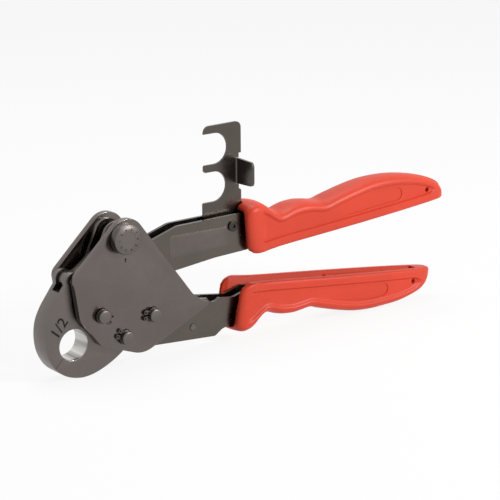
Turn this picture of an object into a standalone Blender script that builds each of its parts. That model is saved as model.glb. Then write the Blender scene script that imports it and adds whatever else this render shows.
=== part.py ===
"""PEX crimp ring tool: a two-part ring die between side plates, closed by a toggle.

The upper handle turns on the adjuster pin. Its knee pushes a link that swings the moving jaw on
the jaw hinge pin, against the fixed jaw. A GO / NO-GO gauge folds out of the upper handle.

Outlines are written in millimetres in the tool plane: x towards the grips, z up, with the bore's
centre at (0, 0). Depths are along y, with the front of the tool at -y and the mid-plane at y = 0.
"""

import math

import bmesh
import bpy
from mathutils import Matrix, Vector

MM = 0.001

# Ring die
BORE_DIAMETER = 18.0
JAW_THICKNESS = 13.0
PARTING_GAP = 0.3
HUB_RADIUS = 9.0
ANCHOR_RADIUS = 9.0
JAW_TONGUE = 6.2
JAW_SLOT = 6.8
FORK_SLOT = 6.8
FORK_RADIUS = 5.2
FORK_FLOOR = 30.6
JAW_SWING = 35.0

# Side plates
PLATE_THICKNESS = 4.0
PLATE_GAP = 16.0

# Sheet steel handles
CHEEK_SPACING = 6.8
SHEET = 2.0
EYE_RADIUS = 8.0
SCALLOP_RADIUS = 5.0
KNUCKLE_RADIUS = 5.0

# Pins and rings
PIN_DIAMETER = 7.6
FORK_PIN_DIAMETER = 4.4
KNEE_PIN_DIAMETER = 5.0
CROSS_PIN_DIAMETER = 4.2
ADJUSTER_DIAMETER = 10.0
ADJUSTER_THROW = 0.3
DIAL_DIAMETER = 17.2
DIAL_HEIGHT = 5.5
PIN_STAND_OUT = 3.8
RING_THICKNESS = 1.0
RING_GROOVE_DEPTH = 0.7
RING_WIDTH = 1.5
RING_LUG_REACH = 3.3
RING_LUG_HOLE = 1.0
RING_LUG_SPACING = 32.0
SCREW_DIAMETER = 4.0

# Running clearances
BORE_CLEARANCE = 0.15
SIDE_CLEARANCE = 0.3
KNEE_PLAY = 2.25
TANG_CLEARANCE = 0.37

# Gauge
GAUGE_THICKNESS = 1.5
GAUGE_OFFSET = 1.0
GO_WIDTH = 18.16
NO_GO_WIDTH = 17.78
GAUGE_ARM = 4.25
TAB_LENGTH = 15.0
TAB_HEIGHT = 15.0
TAB_CORNER = 2.5
TAB_TAPER = 0.5
TAB_RELIEF = 1.6
EDGE_FROM_PIVOT = 10.6

# Grips
GRIP_WALL = 2.6
GRIP_CROWN = 3.2
PANEL_DEPTH = 1.0
PANEL_START = 12.0
PANEL_END = 122.5
BEAD_HEIGHT = 5.3
TANG_HEIGHT = 10.0
TANG_LENGTH = 108.0
TANG_INSET = 5.0

# Where each grip's inner edge starts, its slope in degrees, and how far its collar leans back:
# the whole rim, then the toe at the inner edge alone
UPPER_GRIP_START = (116.0, 31.1)
UPPER_GRIP_TILT = 3.5
UPPER_GRIP_RAKE = 1.0
UPPER_GRIP_TOE = 5.0
LOWER_GRIP_START = (107.0, 15.9)
LOWER_GRIP_TILT = -6.9
LOWER_GRIP_RAKE = 11.0
LOWER_GRIP_TOE = 1.0

# Centres in the tool plane
BORE = (0.0, 0.0)
JAW_HINGE = (15.6, 15.2)
JAW_ANCHOR = (30.6, 0.0)
HANDLE_PIN = (49.4, 9.5)
ADJUSTER = (30.5, 57.2)
FORK = (1.0, 36.0)
KNEE = (20.0, 42.0)
CROSS_PIN = (81.3, -6.0)
GAUGE_PIVOT = (110.2, 49.4)
HANDLE_SCALLOP = (96.2, 11.4)

# Where the tool plane's origin stands above the ground, and left of the middle of the tool
GROUND_TO_BORE = 20.0
BORE_TO_MIDDLE = 128.1
# The tool stands on the jaw's and the lower grip's bellies, leaning this far from its own axes
STANDING_LEAN = 0.28

PLATE_CORNERS = (
    (34.5, 73.3, 11.6),
    (-2.2, 38.6, 6.0),
    (1.35, 15.0, 5.0),
    (14.9, -2.55, 3.0),
    (42.6, -12.7, 16.0),
    (90.1, 8.7, 1.2),
    (82.5, 12.2, 6.0),
    (77.1, 16.5, 6.0),
)

MOVING_JAW_BACK = (
    (-3.9, 34.2),
    (-8.0, 28.8),
    (-13.2, 21.6),
    (-16.6, 14.6),
    (-17.8, 7.0),
    (-17.2, -0.5),
    (-15.1, -6.8),
    (-12.1, -11.7),
)

FIXED_JAW_BELLY = (
    (-12.1, -11.7),
    (-8.4, -15.2),
    (-3.0, -18.2),
    (4.0, -19.9),
    (10.5, -19.7),
    (17.5, -17.9),
    (25.0, -14.6),
    (31.0, -11.0),
    (35.1, -7.8),
)

# Distance along the grip, total height, half width
GRIP_STATIONS = (
    (0.0, 27.9, 10.2),
    (1.2, 28.6, 11.6),
    (3.5, 29.5, 12.3),
    (8.0, 29.9, 12.2),
    (12.0, 29.3, 11.8),
    (14.5, 28.6, 11.5),
    (18.0, 26.6, 11.1),
    (22.5, 23.2, 10.6),
    (27.0, 20.4, 10.2),
    (31.0, 20.0, 10.1),
    (36.0, 21.2, 10.0),
    (41.0, 21.9, 10.0),
    (48.0, 21.8, 10.0),
    (54.0, 20.7, 10.0),
    (60.0, 19.3, 10.0),
    (64.0, 19.2, 10.0),
    (69.0, 20.2, 10.0),
    (76.0, 21.4, 9.9),
    (86.0, 22.9, 9.8),
    (98.0, 24.1, 9.5),
    (110.0, 23.9, 9.1),
    (121.0, 22.6, 8.7),
    (124.0, 22.1, 8.5),
    (133.0, 20.2, 8.0),
    (143.0, 17.6, 7.3),
    (150.0, 16.2, 6.6),
    (154.5, 14.0, 5.8),
    (157.0, 11.0, 4.8),
    (158.6, 6.4, 3.2),
)
GRIP_RIBS = (81.0, 127.0, 136.5)
RIB_THICKNESS = 1.6
GRIP_SPACE_END = 148.0
GRIP_HOLE = (143.6, 8.0)
GRIP_HOLE_DIAMETER = 3.2

STEEL = ("blackened_steel", (0.120, 0.108, 0.100, 1.0), 0.42, 0.85)
DARK_STEEL = ("dark_pin_steel", (0.085, 0.080, 0.077, 1.0), 0.38, 0.9)
SPRING_STEEL = ("spring_steel", (0.060, 0.057, 0.055, 1.0), 0.35, 0.9)
RED_PLASTIC = ("red_plastic", (0.760, 0.072, 0.042, 1.0), 0.45, 0.0)

FINE = 32
MEDIUM = 20
COARSE = 16


def clear_scene():
    """Remove every object that the file opened with."""
    for obj in list(bpy.data.objects):
        bpy.data.objects.remove(obj, do_unlink=True)


def new_collection(name):
    """Make a collection under the scene."""
    collection = bpy.data.collections.new(name)
    bpy.context.scene.collection.children.link(collection)
    return collection


def material(finish):
    """One Principled material for a finish of (name, colour, roughness, metallic)."""
    name, colour, roughness, metallic = finish
    made = bpy.data.materials.get(name)
    if made is None:
        made = bpy.data.materials.new(name)
        made.use_nodes = True
        shader = made.node_tree.nodes["Principled BSDF"]
        shader.inputs["Base Color"].default_value = colour
        shader.inputs["Roughness"].default_value = roughness
        shader.inputs["Metallic"].default_value = metallic
    return made


# Flat outlines


def arc(centre, radius, start, end, steps):
    """Points on an arc between two angles in degrees, both ends included."""
    points = []
    for i in range(steps + 1):
        angle = math.radians(start + (end - start) * i / steps)
        points.append((centre[0] + radius * math.cos(angle), centre[1] + radius * math.sin(angle)))
    return points


def bearing(start, end):
    """Angle in degrees of the line from one point to another."""
    return math.degrees(math.atan2(end[1] - start[1], end[0] - start[0]))


def distance(start, end):
    """Distance between two points of the tool plane."""
    return math.hypot(end[0] - start[0], end[1] - start[1])


def rounded(corners, degrees_per_step=9.0):
    """A closed outline from corners of (x, z, fillet radius), listed anticlockwise."""
    points = []
    count = len(corners)
    for i, (x, z, radius) in enumerate(corners):
        corner = Vector((x, z))
        before = Vector(corners[i - 1][:2]) - corner
        after = Vector(corners[(i + 1) % count][:2]) - corner
        before.normalize()
        after.normalize()
        turn = math.pi - before.angle(after)
        if radius <= 0.0 or turn < 1e-4:
            points.append((x, z))
            continue
        reach = radius * math.tan(turn / 2.0)
        first = corner + before * reach
        last = corner + after * reach
        inward = (before + after).normalized()
        centre = corner + inward * (radius / math.cos(turn / 2.0))
        start = math.atan2(first.y - centre.y, first.x - centre.x)
        sweep = math.atan2(last.y - centre.y, last.x - centre.x) - start
        sweep = (sweep + math.pi) % (2.0 * math.pi) - math.pi
        steps = max(1, math.ceil(math.degrees(abs(sweep)) / degrees_per_step))
        for k in range(steps + 1):
            angle = start + sweep * k / steps
            points.append((centre.x + radius * math.cos(angle), centre.y + radius * math.sin(angle)))
    return points


def smooth(knots, steps):
    """Points on a smooth open curve through the knots, both ends included."""
    points = []
    last = len(knots) - 1
    for i in range(last):
        p0 = knots[max(i - 1, 0)]
        p1 = knots[i]
        p2 = knots[i + 1]
        p3 = knots[min(i + 2, last)]
        for k in range(steps):
            t = k / steps
            points.append(tuple(catmull(a, b, c, d, t) for a, b, c, d in zip(p0, p1, p2, p3)))
    points.append(tuple(knots[-1]))
    return points


def catmull(a, b, c, d, t):
    """Catmull-Rom blend of four values."""
    linear = 0.5 * (c - a)
    square = a - 2.5 * b + 2.0 * c - 0.5 * d
    cube = 0.5 * (d - a) + 1.5 * (b - c)
    return b + t * (linear + t * (square + t * cube))


def two_circle_outline(first, first_radius, second, second_radius, steps):
    """The outline of a strap round two circles, anticlockwise."""
    heading = bearing(first, second)
    lean = math.degrees(math.asin((first_radius - second_radius) / distance(first, second)))
    near = arc(first, first_radius, heading + 90.0 - lean, heading + 270.0 + lean, steps)
    far = arc(second, second_radius, heading - 90.0 + lean, heading + 90.0 - lean, steps)
    return near + far


# Solids


def mesh_object(name, bm, collection):
    """An object from a bmesh, whose points are in metres in the tool's own frame."""
    mesh = bpy.data.meshes.new(name)
    bm.to_mesh(mesh)
    bm.free()
    obj = bpy.data.objects.new(name, mesh)
    collection.objects.link(obj)
    return obj


def extruded(name, outline, y_front, y_rear, collection):
    """A flat outline of the tool plane given thickness along y."""
    curve = bpy.data.curves.new(name + "_outline", "CURVE")
    curve.dimensions = "2D"
    curve.fill_mode = "BOTH"
    curve.extrude = (y_rear - y_front) / 2.0 * MM
    spline = curve.splines.new("POLY")
    spline.points.add(len(outline) - 1)
    for point, (x, z) in zip(spline.points, outline):
        point.co = (x * MM, z * MM, 0.0, 1.0)
    spline.use_cyclic_u = True
    flat = bpy.data.objects.new(name + "_outline", curve)
    flat.rotation_euler = (math.pi / 2.0, 0.0, 0.0)
    flat.location = (0.0, (y_front + y_rear) / 2.0 * MM, 0.0)
    bpy.context.scene.collection.objects.link(flat)
    return curve_to_mesh(name, flat, collection)


def curve_to_mesh(name, flat, collection):
    """A welded mesh object made from a curve object, which is removed."""
    graph = bpy.context.evaluated_depsgraph_get()
    graph.update()
    mesh = bpy.data.meshes.new_from_object(flat.evaluated_get(graph))
    place = flat.matrix_world.copy()
    bpy.data.objects.remove(flat, do_unlink=True)
    bm = bmesh.new()
    bm.from_mesh(mesh)
    bpy.data.meshes.remove(mesh)
    bmesh.ops.remove_doubles(bm, verts=bm.verts, dist=1e-6)
    bm.transform(place)
    return mesh_object(name, bm, collection)


def add_cylinder(bm, centre, radius, y_front, y_rear, segments):
    """A closed cylinder along y, added to a bmesh."""
    turn = Matrix.Rotation(math.pi / 2.0, 4, "X")
    shift = Matrix.Translation(Vector((centre[0], (y_front + y_rear) / 2.0, centre[1])) * MM)
    bmesh.ops.create_cone(
        bm,
        cap_ends=True,
        segments=segments,
        radius1=radius * MM,
        radius2=radius * MM,
        depth=(y_rear - y_front) * MM,
        matrix=shift @ turn,
    )


def cylinder(name, centre, radius, y_front, y_rear, segments, collection):
    """A cylinder along y as an object."""
    bm = bmesh.new()
    add_cylinder(bm, centre, radius, y_front, y_rear, segments)
    return mesh_object(name, bm, collection)


def box(name, x_range, y_range, z_range, collection):
    """A rectangular block between limits on each axis."""
    bm = bmesh.new()
    bmesh.ops.create_cube(bm, size=1.0)
    size = Vector((x_range[1] - x_range[0], y_range[1] - y_range[0], z_range[1] - z_range[0])) * MM
    middle = Vector((sum(x_range), sum(y_range), sum(z_range))) * (MM / 2.0)
    bm.transform(Matrix.Translation(middle) @ Matrix.Diagonal(size).to_4x4())
    return mesh_object(name, bm, collection)


def turned(name, centre, profile, segments, collection):
    """A turned piece along y: a profile of (radius, y) from its rear end down to its front end."""
    mesh = bpy.data.meshes.new(name)
    points = [(radius * MM, 0.0, y * MM) for radius, y in profile]
    closed = profile[0][0] > 0.0
    edges = [(i, i + 1) for i in range(len(points) - 1)]
    if closed:
        edges.append((len(points) - 1, 0))
    mesh.from_pydata(points, edges, [])
    obj = bpy.data.objects.new(name, mesh)
    collection.objects.link(obj)
    screw = obj.modifiers.new("Turned", "SCREW")
    screw.axis = "Z"
    screw.steps = segments
    screw.render_steps = segments
    screw.use_merge_vertices = True
    screw.merge_threshold = 0.00001
    screw.use_smooth_shade = False
    obj.rotation_euler = (-math.pi / 2.0, 0.0, 0.0)
    obj.location = Vector((centre[0], 0.0, centre[1])) * MM
    return obj


def operate(target, tool, operation):
    """Cut a tool from a target, or join it on, with an exact Boolean."""
    boolean = target.modifiers.new(tool.name, "BOOLEAN")
    boolean.operation = operation
    boolean.solver = "EXACT"
    boolean.object = tool
    tool.hide_render = True
    tool.display_type = "WIRE"


def cut(target, *tools):
    """Cut tools from a target."""
    for tool in tools:
        operate(target, tool, "DIFFERENCE")


def join(target, *tools):
    """Join tools onto a target."""
    for tool in tools:
        operate(target, tool, "UNION")


def shift_origin(obj, centre):
    """Put an object's origin on a joint axis of the tool plane, with its mesh where it was."""
    pivot = Vector((centre[0], 0.0, centre[1])) * MM
    obj.data.transform(Matrix.Translation(-pivot))
    obj.location = pivot


def finish_piece(obj, finish, frame, angle=30.0):
    """Give a piece its material, its shading and its parent."""
    obj.data.materials.clear()
    obj.data.materials.append(material(finish))
    obj.data.shade_smooth()
    obj.data.set_sharp_from_angle(angle=math.radians(angle))
    obj.parent = frame
    return obj


# Values shared by pieces that meet


def plate_inner():
    """Depth of the side plates' inner faces from the mid-plane."""
    return PLATE_GAP / 2.0


def plate_outer():
    """Depth of the side plates' outer faces from the mid-plane."""
    return PLATE_GAP / 2.0 + PLATE_THICKNESS


def cheek_inner():
    """Depth of the handle cheeks' inner faces."""
    return CHEEK_SPACING / 2.0


def cheek_outer():
    """Depth of the handle cheeks' outer faces."""
    return CHEEK_SPACING / 2.0 + SHEET


def parting_angle():
    """Angle of the line on which the die splits, from the bore to the hinge."""
    return bearing(BORE, JAW_HINGE)


def on_parting(point, side):
    """A point moved half the parting gap to one side of the parting line."""
    angle = math.radians(parting_angle() + 90.0)
    gap = PARTING_GAP / 2.0 * side
    return (point[0] + gap * math.cos(angle), point[1] + gap * math.sin(angle))


def through_holes(target, name, centres, radius, depth, segments, cutters):
    """Round holes along y through a piece."""
    for number, centre in enumerate(centres):
        tool = cylinder(f"{name}_{number}", centre, radius, -depth, depth, segments, cutters)
        cut(target, tool)


# Side plates


def side_plates(parts, cutters, frame):
    """The two kite-shaped plates that carry every pin."""
    outline = rounded(PLATE_CORNERS)
    pins = (JAW_HINGE, JAW_ANCHOR, HANDLE_PIN)
    for name, side in (("front_side_plate", -1), ("rear_side_plate", 1)):
        limits = sorted((side * plate_inner(), side * plate_outer()))
        plate = extruded(name, outline, *limits, parts)
        reach = plate_outer() + 1.0
        through_holes(plate, name + "_pin_hole", pins, PIN_DIAMETER / 2.0 + BORE_CLEARANCE, reach, MEDIUM, cutters)
        journal = ADJUSTER_DIAMETER / 2.0 + BORE_CLEARANCE
        through_holes(plate, name + "_adjuster_hole", (ADJUSTER,), journal, reach, FINE, cutters)
        finish_piece(plate, STEEL, frame)


# Jaws


def fixed_jaw(parts, cutters, frame):
    """The lower right half of the die, with a tongue at the hinge and one in the lower handle."""
    parting = parting_angle()
    to_hinge = bearing(JAW_ANCHOR, JAW_HINGE)
    outline = smooth(FIXED_JAW_BELLY, 3)
    outline[0] = on_parting(outline[0], -1)
    outline += arc(JAW_ANCHOR, ANCHOR_RADIUS, -58.0, to_hinge - 90.0, 9)
    outline += arc(JAW_HINGE, HUB_RADIUS, to_hinge - 90.0 - JAW_SWING, parting + 180.0, 18)
    hub_corner = outline.pop()
    outline.append(on_parting(hub_corner, -1))
    half = JAW_THICKNESS / 2.0
    jaw = extruded("fixed_jaw", outline, -half, half, parts)
    cut(jaw, cylinder("fixed_bore", BORE, BORE_DIAMETER / 2.0, -half - 1.0, half + 1.0, FINE, cutters))
    tongue = JAW_TONGUE / 2.0
    handle_space = two_circle_outline(
        JAW_ANCHOR, EYE_RADIUS + SIDE_CLEARANCE + 0.1, (JAW_ANCHOR[0] + 40.0, 0.0), 30.0, 14
    )
    for side in (-1, 1):
        limits = sorted((side * tongue, side * (half + 1.0)))
        label = "front" if side < 0 else "rear"
        hub = cylinder(f"fixed_hub_{label}", JAW_HINGE, HUB_RADIUS + SIDE_CLEARANCE, *limits, FINE, cutters)
        tail = extruded(f"fixed_tail_{label}", handle_space, *limits, cutters)
        cut(jaw, hub, tail)
    holes = (JAW_HINGE, JAW_ANCHOR)
    through_holes(jaw, "fixed_pin_hole", holes, PIN_DIAMETER / 2.0 + BORE_CLEARANCE, half + 1.0, MEDIUM, cutters)
    finish_piece(jaw, STEEL, frame)


def moving_jaw(parts, cutters, frame):
    """The upper left half of the die, forked at its top for the push link."""
    parting = parting_angle()
    to_fork = bearing(JAW_HINGE, FORK)
    lean = math.degrees(math.asin((HUB_RADIUS - FORK_RADIUS) / distance(JAW_HINGE, FORK)))
    outline = smooth(MOVING_JAW_BACK, 3)
    outline[-1] = on_parting(outline[-1], 1)
    hub = arc(JAW_HINGE, HUB_RADIUS, parting + 180.0, to_fork + 270.0 + lean, 22)
    hub[0] = on_parting(hub[0], 1)
    outline += hub
    eye = arc(FORK, FORK_RADIUS, to_fork - 90.0 + lean, 200.0, 14)
    outline += eye[:-1]
    half = JAW_THICKNESS / 2.0
    jaw = extruded("moving_jaw", outline, -half, half, parts)
    cut(jaw, cylinder("moving_bore", BORE, BORE_DIAMETER / 2.0, -half - 1.0, half + 1.0, FINE, cutters))
    slot = JAW_SLOT / 2.0
    cut(jaw, cylinder("moving_hub_slot", JAW_HINGE, HUB_RADIUS + SIDE_CLEARANCE, -slot, slot, FINE, cutters))
    fork = FORK_SLOT / 2.0
    above = FORK[1] + FORK_RADIUS + 2.0
    cut(jaw, box("fork_slot", (-15.0, 25.0), (-fork, fork), (FORK_FLOOR, above), cutters))
    hinge_hole = PIN_DIAMETER / 2.0 + BORE_CLEARANCE
    fork_hole = FORK_PIN_DIAMETER / 2.0 + BORE_CLEARANCE
    through_holes(jaw, "moving_hinge_hole", (JAW_HINGE,), hinge_hole, half + 1.0, MEDIUM, cutters)
    through_holes(jaw, "moving_fork_hole", (FORK,), fork_hole, half + 1.0, COARSE, cutters)
    shift_origin(jaw, JAW_HINGE)
    finish_piece(jaw, STEEL, frame)


# Toggle


def push_link(parts, cutters, frame):
    """The strut from the fork to the knee, with a loose eye at the knee."""
    half = CHEEK_SPACING / 2.0 - SIDE_CLEARANCE
    fork_eye = FORK_RADIUS - 1.3
    knee_hole = KNEE_PIN_DIAMETER / 2.0 + KNEE_PLAY
    outline = two_circle_outline(KNEE, knee_hole + 2.1, FORK, fork_eye, 14)
    link = extruded("push_link", outline, -half, half, parts)
    fork_hole = FORK_PIN_DIAMETER / 2.0 + BORE_CLEARANCE
    through_holes(link, "link_fork_hole", (FORK,), fork_hole, half + 1.0, COARSE, cutters)
    through_holes(link, "link_knee_hole", (KNEE,), knee_hole, half + 1.0, MEDIUM, cutters)
    shift_origin(link, FORK)
    finish_piece(link, STEEL, frame)


def plain_pin(name, centre, diameter, half_length, chamfer, parts, frame):
    """A straight dowel pin with chamfered ends."""
    radius = diameter / 2.0
    profile = (
        (0.0, half_length),
        (radius - chamfer, half_length),
        (radius, half_length - chamfer),
        (radius, -half_length + chamfer),
        (radius - chamfer, -half_length),
        (0.0, -half_length),
    )
    pin = turned(name, centre, profile, COARSE, parts)
    finish_piece(pin, DARK_STEEL, frame)


def grooved_profile(radius, end, groove, chamfer):
    """Profile of a pin with a ring groove near both ends, rear end first."""
    floor = radius - RING_GROOVE_DEPTH
    width = RING_THICKNESS + 0.2
    return (
        (0.0, end),
        (radius - chamfer, end),
        (radius, end - chamfer),
        (radius, groove + width),
        (floor, groove + width),
        (floor, groove),
        (radius, groove),
        (radius, -groove),
        (floor, -groove),
        (floor, -groove - width),
        (radius, -groove - width),
        (radius, -end + chamfer),
        (radius - chamfer, -end),
        (0.0, -end),
    )


def ring_start():
    """Depth where a retaining ring's groove begins, just outside the plates."""
    return plate_outer() + SIDE_CLEARANCE


def plate_pins(parts, frame):
    """The three pins through both plates, each with a groove at both ends."""
    end = plate_outer() + PIN_STAND_OUT
    profile = grooved_profile(PIN_DIAMETER / 2.0, end, ring_start(), 0.4)
    for name, centre in (
        ("jaw_hinge_pin", JAW_HINGE),
        ("jaw_anchor_pin", JAW_ANCHOR),
        ("handle_pin", HANDLE_PIN),
    ):
        pin = turned(name, centre, profile, MEDIUM, parts)
        finish_piece(pin, DARK_STEEL, frame)


def retaining_ring(name, centre, pin_radius, y_front, heading, parts, cutters, frame):
    """A snap ring in its groove, open at one side between two lugs with a hole for the pliers."""
    inner = pin_radius - RING_GROOVE_DEPTH + 0.15
    outer = inner + RING_WIDTH
    lug = pin_radius + RING_LUG_REACH
    lug_half = 11.0
    opening = RING_LUG_SPACING / 2.0 - lug_half
    shoulder = RING_LUG_SPACING / 2.0 + lug_half
    outline = arc(centre, lug, heading + opening, heading + shoulder, 2)
    outline += arc(centre, outer, heading + shoulder + 8.0, heading + 352.0 - shoulder, 13)
    outline += arc(centre, lug, heading + 360.0 - shoulder, heading + 360.0 - opening, 2)
    outline += arc(centre, inner, heading + 360.0 - opening, heading + opening, 15)
    ring = extruded(name, outline, y_front, y_front + RING_THICKNESS, parts)
    across = lug - RING_LUG_HOLE
    holes = []
    for side in (-1, 1):
        holes += arc(centre, across, heading + side * RING_LUG_SPACING / 2.0, heading, 1)[:1]
    for number, hole in enumerate(holes):
        tool = cylinder(
            f"{name}_lug_hole_{number}", hole, RING_LUG_HOLE / 2.0,
            y_front - 1.0, y_front + RING_THICKNESS + 1.0, 6, cutters
        )
        cut(ring, tool)
    finish_piece(ring, SPRING_STEEL, frame)


def retaining_rings(parts, cutters, frame):
    """The rings on the three plate pins, front and rear, and the one behind the adjuster."""
    front = -ring_start() - 0.1 - RING_THICKNESS
    rear = ring_start() + 0.1
    radius = PIN_DIAMETER / 2.0
    for pin, centre, front_heading, rear_heading in (
        ("hinge", JAW_HINGE, -28.0, 20.0),
        ("anchor", JAW_ANCHOR, 150.0, 240.0),
        ("handle", HANDLE_PIN, 175.0, 300.0),
    ):
        retaining_ring(f"front_{pin}_pin_ring", centre, radius, front, front_heading, parts, cutters, frame)
        retaining_ring(f"rear_{pin}_pin_ring", centre, radius, rear, rear_heading, parts, cutters, frame)
    adjuster = ADJUSTER_DIAMETER / 2.0
    retaining_ring("rear_adjuster_ring", ADJUSTER, adjuster, rear, 90.0, parts, cutters, frame)


def adjuster_pin(parts, cutters, frame):
    """The adjuster: a dial head, journals in the plates and an eccentric between them."""
    radius = ADJUSTER_DIAMETER / 2.0
    floor = radius - RING_GROOVE_DEPTH
    end = plate_outer() + SIDE_CLEARANCE + DIAL_HEIGHT
    groove = ring_start()
    under_head = -plate_outer() - SIDE_CLEARANCE
    face = under_head - DIAL_HEIGHT
    dial = DIAL_DIAMETER / 2.0
    journal = plate_inner() - SIDE_CLEARANCE
    neck = radius - 2.0 * ADJUSTER_THROW
    profile = (
        (0.0, end),
        (floor, end),
        (radius, end - 0.7),
        (radius, groove + RING_THICKNESS + 0.2),
        (floor, groove + RING_THICKNESS + 0.2),
        (floor, groove),
        (radius, groove),
        (radius, journal),
        (neck, journal),
        (neck, -journal),
        (radius, -journal),
        (radius, under_head),
        (dial, under_head),
        (dial, face + 1.0),
        (dial - 0.5, face + 0.5),
        (dial - 1.6, face + 0.5),
        (dial - 1.9, face),
        (0.0, face),
    )
    pin = turned("adjuster_pin", ADJUSTER, profile, FINE, parts)
    lobe_centre = (ADJUSTER[0] + ADJUSTER_THROW, ADJUSTER[1])
    lobe = cylinder(
        "adjuster_lobe", lobe_centre, radius - ADJUSTER_THROW, -journal - 0.5, journal + 0.5, FINE, cutters
    )
    join(pin, lobe)
    finish_piece(pin, DARK_STEEL, frame)


# Washers and spacers


def washer(name, centre, inner, outer, near, far, parts, frame):
    """A flat ring between two depths, whose profile runs round its section."""
    y_front, y_rear = sorted((near, far))
    profile = ((outer, y_rear), (outer, y_front), (inner, y_front), (inner, y_rear))
    piece = turned(name, centre, profile, MEDIUM, parts)
    finish_piece(piece, SPRING_STEEL, frame)


def washers_and_spacers(parts, frame):
    """What keeps the jaws and handles central between the plates."""
    gap = 0.15
    pin = PIN_DIAMETER / 2.0 + BORE_CLEARANCE
    journal = ADJUSTER_DIAMETER / 2.0 + BORE_CLEARANCE
    outside = plate_inner() - gap
    jaw_side = JAW_THICKNESS / 2.0 + gap
    handle_side = cheek_outer() + gap
    for end, side in (("front", -1), ("rear", 1)):
        for label, centre, inner, outer, inside in (
            ("jaw_washer", JAW_HINGE, pin, HUB_RADIUS - 0.5, jaw_side),
            ("anchor_spacer", JAW_ANCHOR, pin, EYE_RADIUS - 0.6, handle_side),
            ("handle_spacer", HANDLE_PIN, pin, EYE_RADIUS - 0.6, handle_side),
            ("adjuster_spacer", ADJUSTER, journal, EYE_RADIUS - 0.2, handle_side),
        ):
            name = f"{end}_{label}"
            washer(name, centre, inner, outer, side * inside, side * outside, parts, frame)


# Handles


def channel(name, outline, pocket, parts, cutters):
    """A bent sheet channel: an outline of full width with the space between its cheeks cut out."""
    body = extruded(name, outline, -cheek_outer(), cheek_outer(), parts)
    space = extruded(name + "_space", pocket, -cheek_inner(), cheek_inner(), cutters)
    cut(body, space)
    return body


def upper_grip_line(along):
    """Height of the upper grip's inner edge at a distance along x."""
    return UPPER_GRIP_START[1] + math.tan(math.radians(UPPER_GRIP_TILT)) * (along - UPPER_GRIP_START[0])


def lower_grip_line(along):
    """Height of the lower grip's inner edge at a distance along x."""
    return LOWER_GRIP_START[1] + math.tan(math.radians(LOWER_GRIP_TILT)) * (along - LOWER_GRIP_START[0])


def upper_handle_channel(parts, cutters, frame):
    """The upper handle: two cheeks on the adjuster and the knee, and a channel open at the top."""
    tang_start = UPPER_GRIP_START[0] + 6.0
    tang_end = UPPER_GRIP_START[0] + TANG_LENGTH
    tang_low = upper_grip_line(tang_start) + TANG_INSET
    tang_low_end = upper_grip_line(tang_end) + TANG_INSET
    head = arc(ADJUSTER, EYE_RADIUS, 15.0, bearing(KNEE, ADJUSTER) + 99.7, 16)
    knuckle = arc(KNEE, KNUCKLE_RADIUS, bearing(KNEE, ADJUSTER) + 99.7, 285.0, 12)
    rest = (
        (33.0, 35.0, 6.0),
        (50.0, 29.2, 10.0),
        (70.3, 30.0, 20.0),
        (97.5, 32.7, 20.0),
        (tang_start, 33.6, 2.0),
        (tang_start, tang_low, 1.0),
        (tang_end, tang_low_end, 2.0),
        (tang_end, tang_low_end + TANG_HEIGHT, 2.0),
        (tang_start, tang_low + TANG_HEIGHT, 1.0),
        (tang_start, 56.2, 2.0),
        (97.8, 55.8, 20.0),
        (71.5, 55.6, 12.0),
        (54.7, 50.5, 10.0),
        (45.0, 48.8, 6.0),
    )
    outline = head + knuckle + rounded_run(knuckle[-1], rest, head[0])
    web = SHEET
    pocket = (
        (0.0, 80.0),
        (0.0, 20.0),
        (50.0, 20.0),
        (52.0, 29.3 + web),
        (70.3, 30.0 + web),
        (97.5, 32.7 + web),
        (tang_start, 33.6 + web),
        (tang_start + 2.0, tang_low + web),
        (tang_end + 5.0, tang_low_end + web),
        (tang_end + 5.0, 80.0),
    )
    handle = channel("upper_handle_channel", outline, pocket, parts, cutters)
    slot_half = GAUGE_THICKNESS / 2.0 + 0.8
    slot_y = (GAUGE_OFFSET - slot_half, GAUGE_OFFSET + slot_half)
    cut(handle, box("gauge_web_slot", (44.0, 107.0), slot_y, (25.0, 38.0), cutters))
    reach = cheek_outer() + 1.0
    eye = ADJUSTER_DIAMETER / 2.0 + ADJUSTER_THROW
    through_holes(handle, "upper_eye_hole", (ADJUSTER,), eye, reach, FINE, cutters)
    knee = KNEE_PIN_DIAMETER / 2.0 + BORE_CLEARANCE
    through_holes(handle, "upper_knee_hole", (KNEE,), knee, reach, COARSE, cutters)
    screw = SCREW_DIAMETER / 2.0 + BORE_CLEARANCE
    through_holes(handle, "upper_screw_hole", (GAUGE_PIVOT,), screw, reach, COARSE, cutters)
    shift_origin(handle, ADJUSTER)
    finish_piece(handle, STEEL, frame)


def rounded_run(start, corners, end):
    """An open run of filleted corners between two fixed points, which are left out."""
    ring = ((start[0], start[1], 0.0),) + tuple(corners) + ((end[0], end[1], 0.0),)
    points = rounded(ring)
    return points[1:-1]


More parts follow.
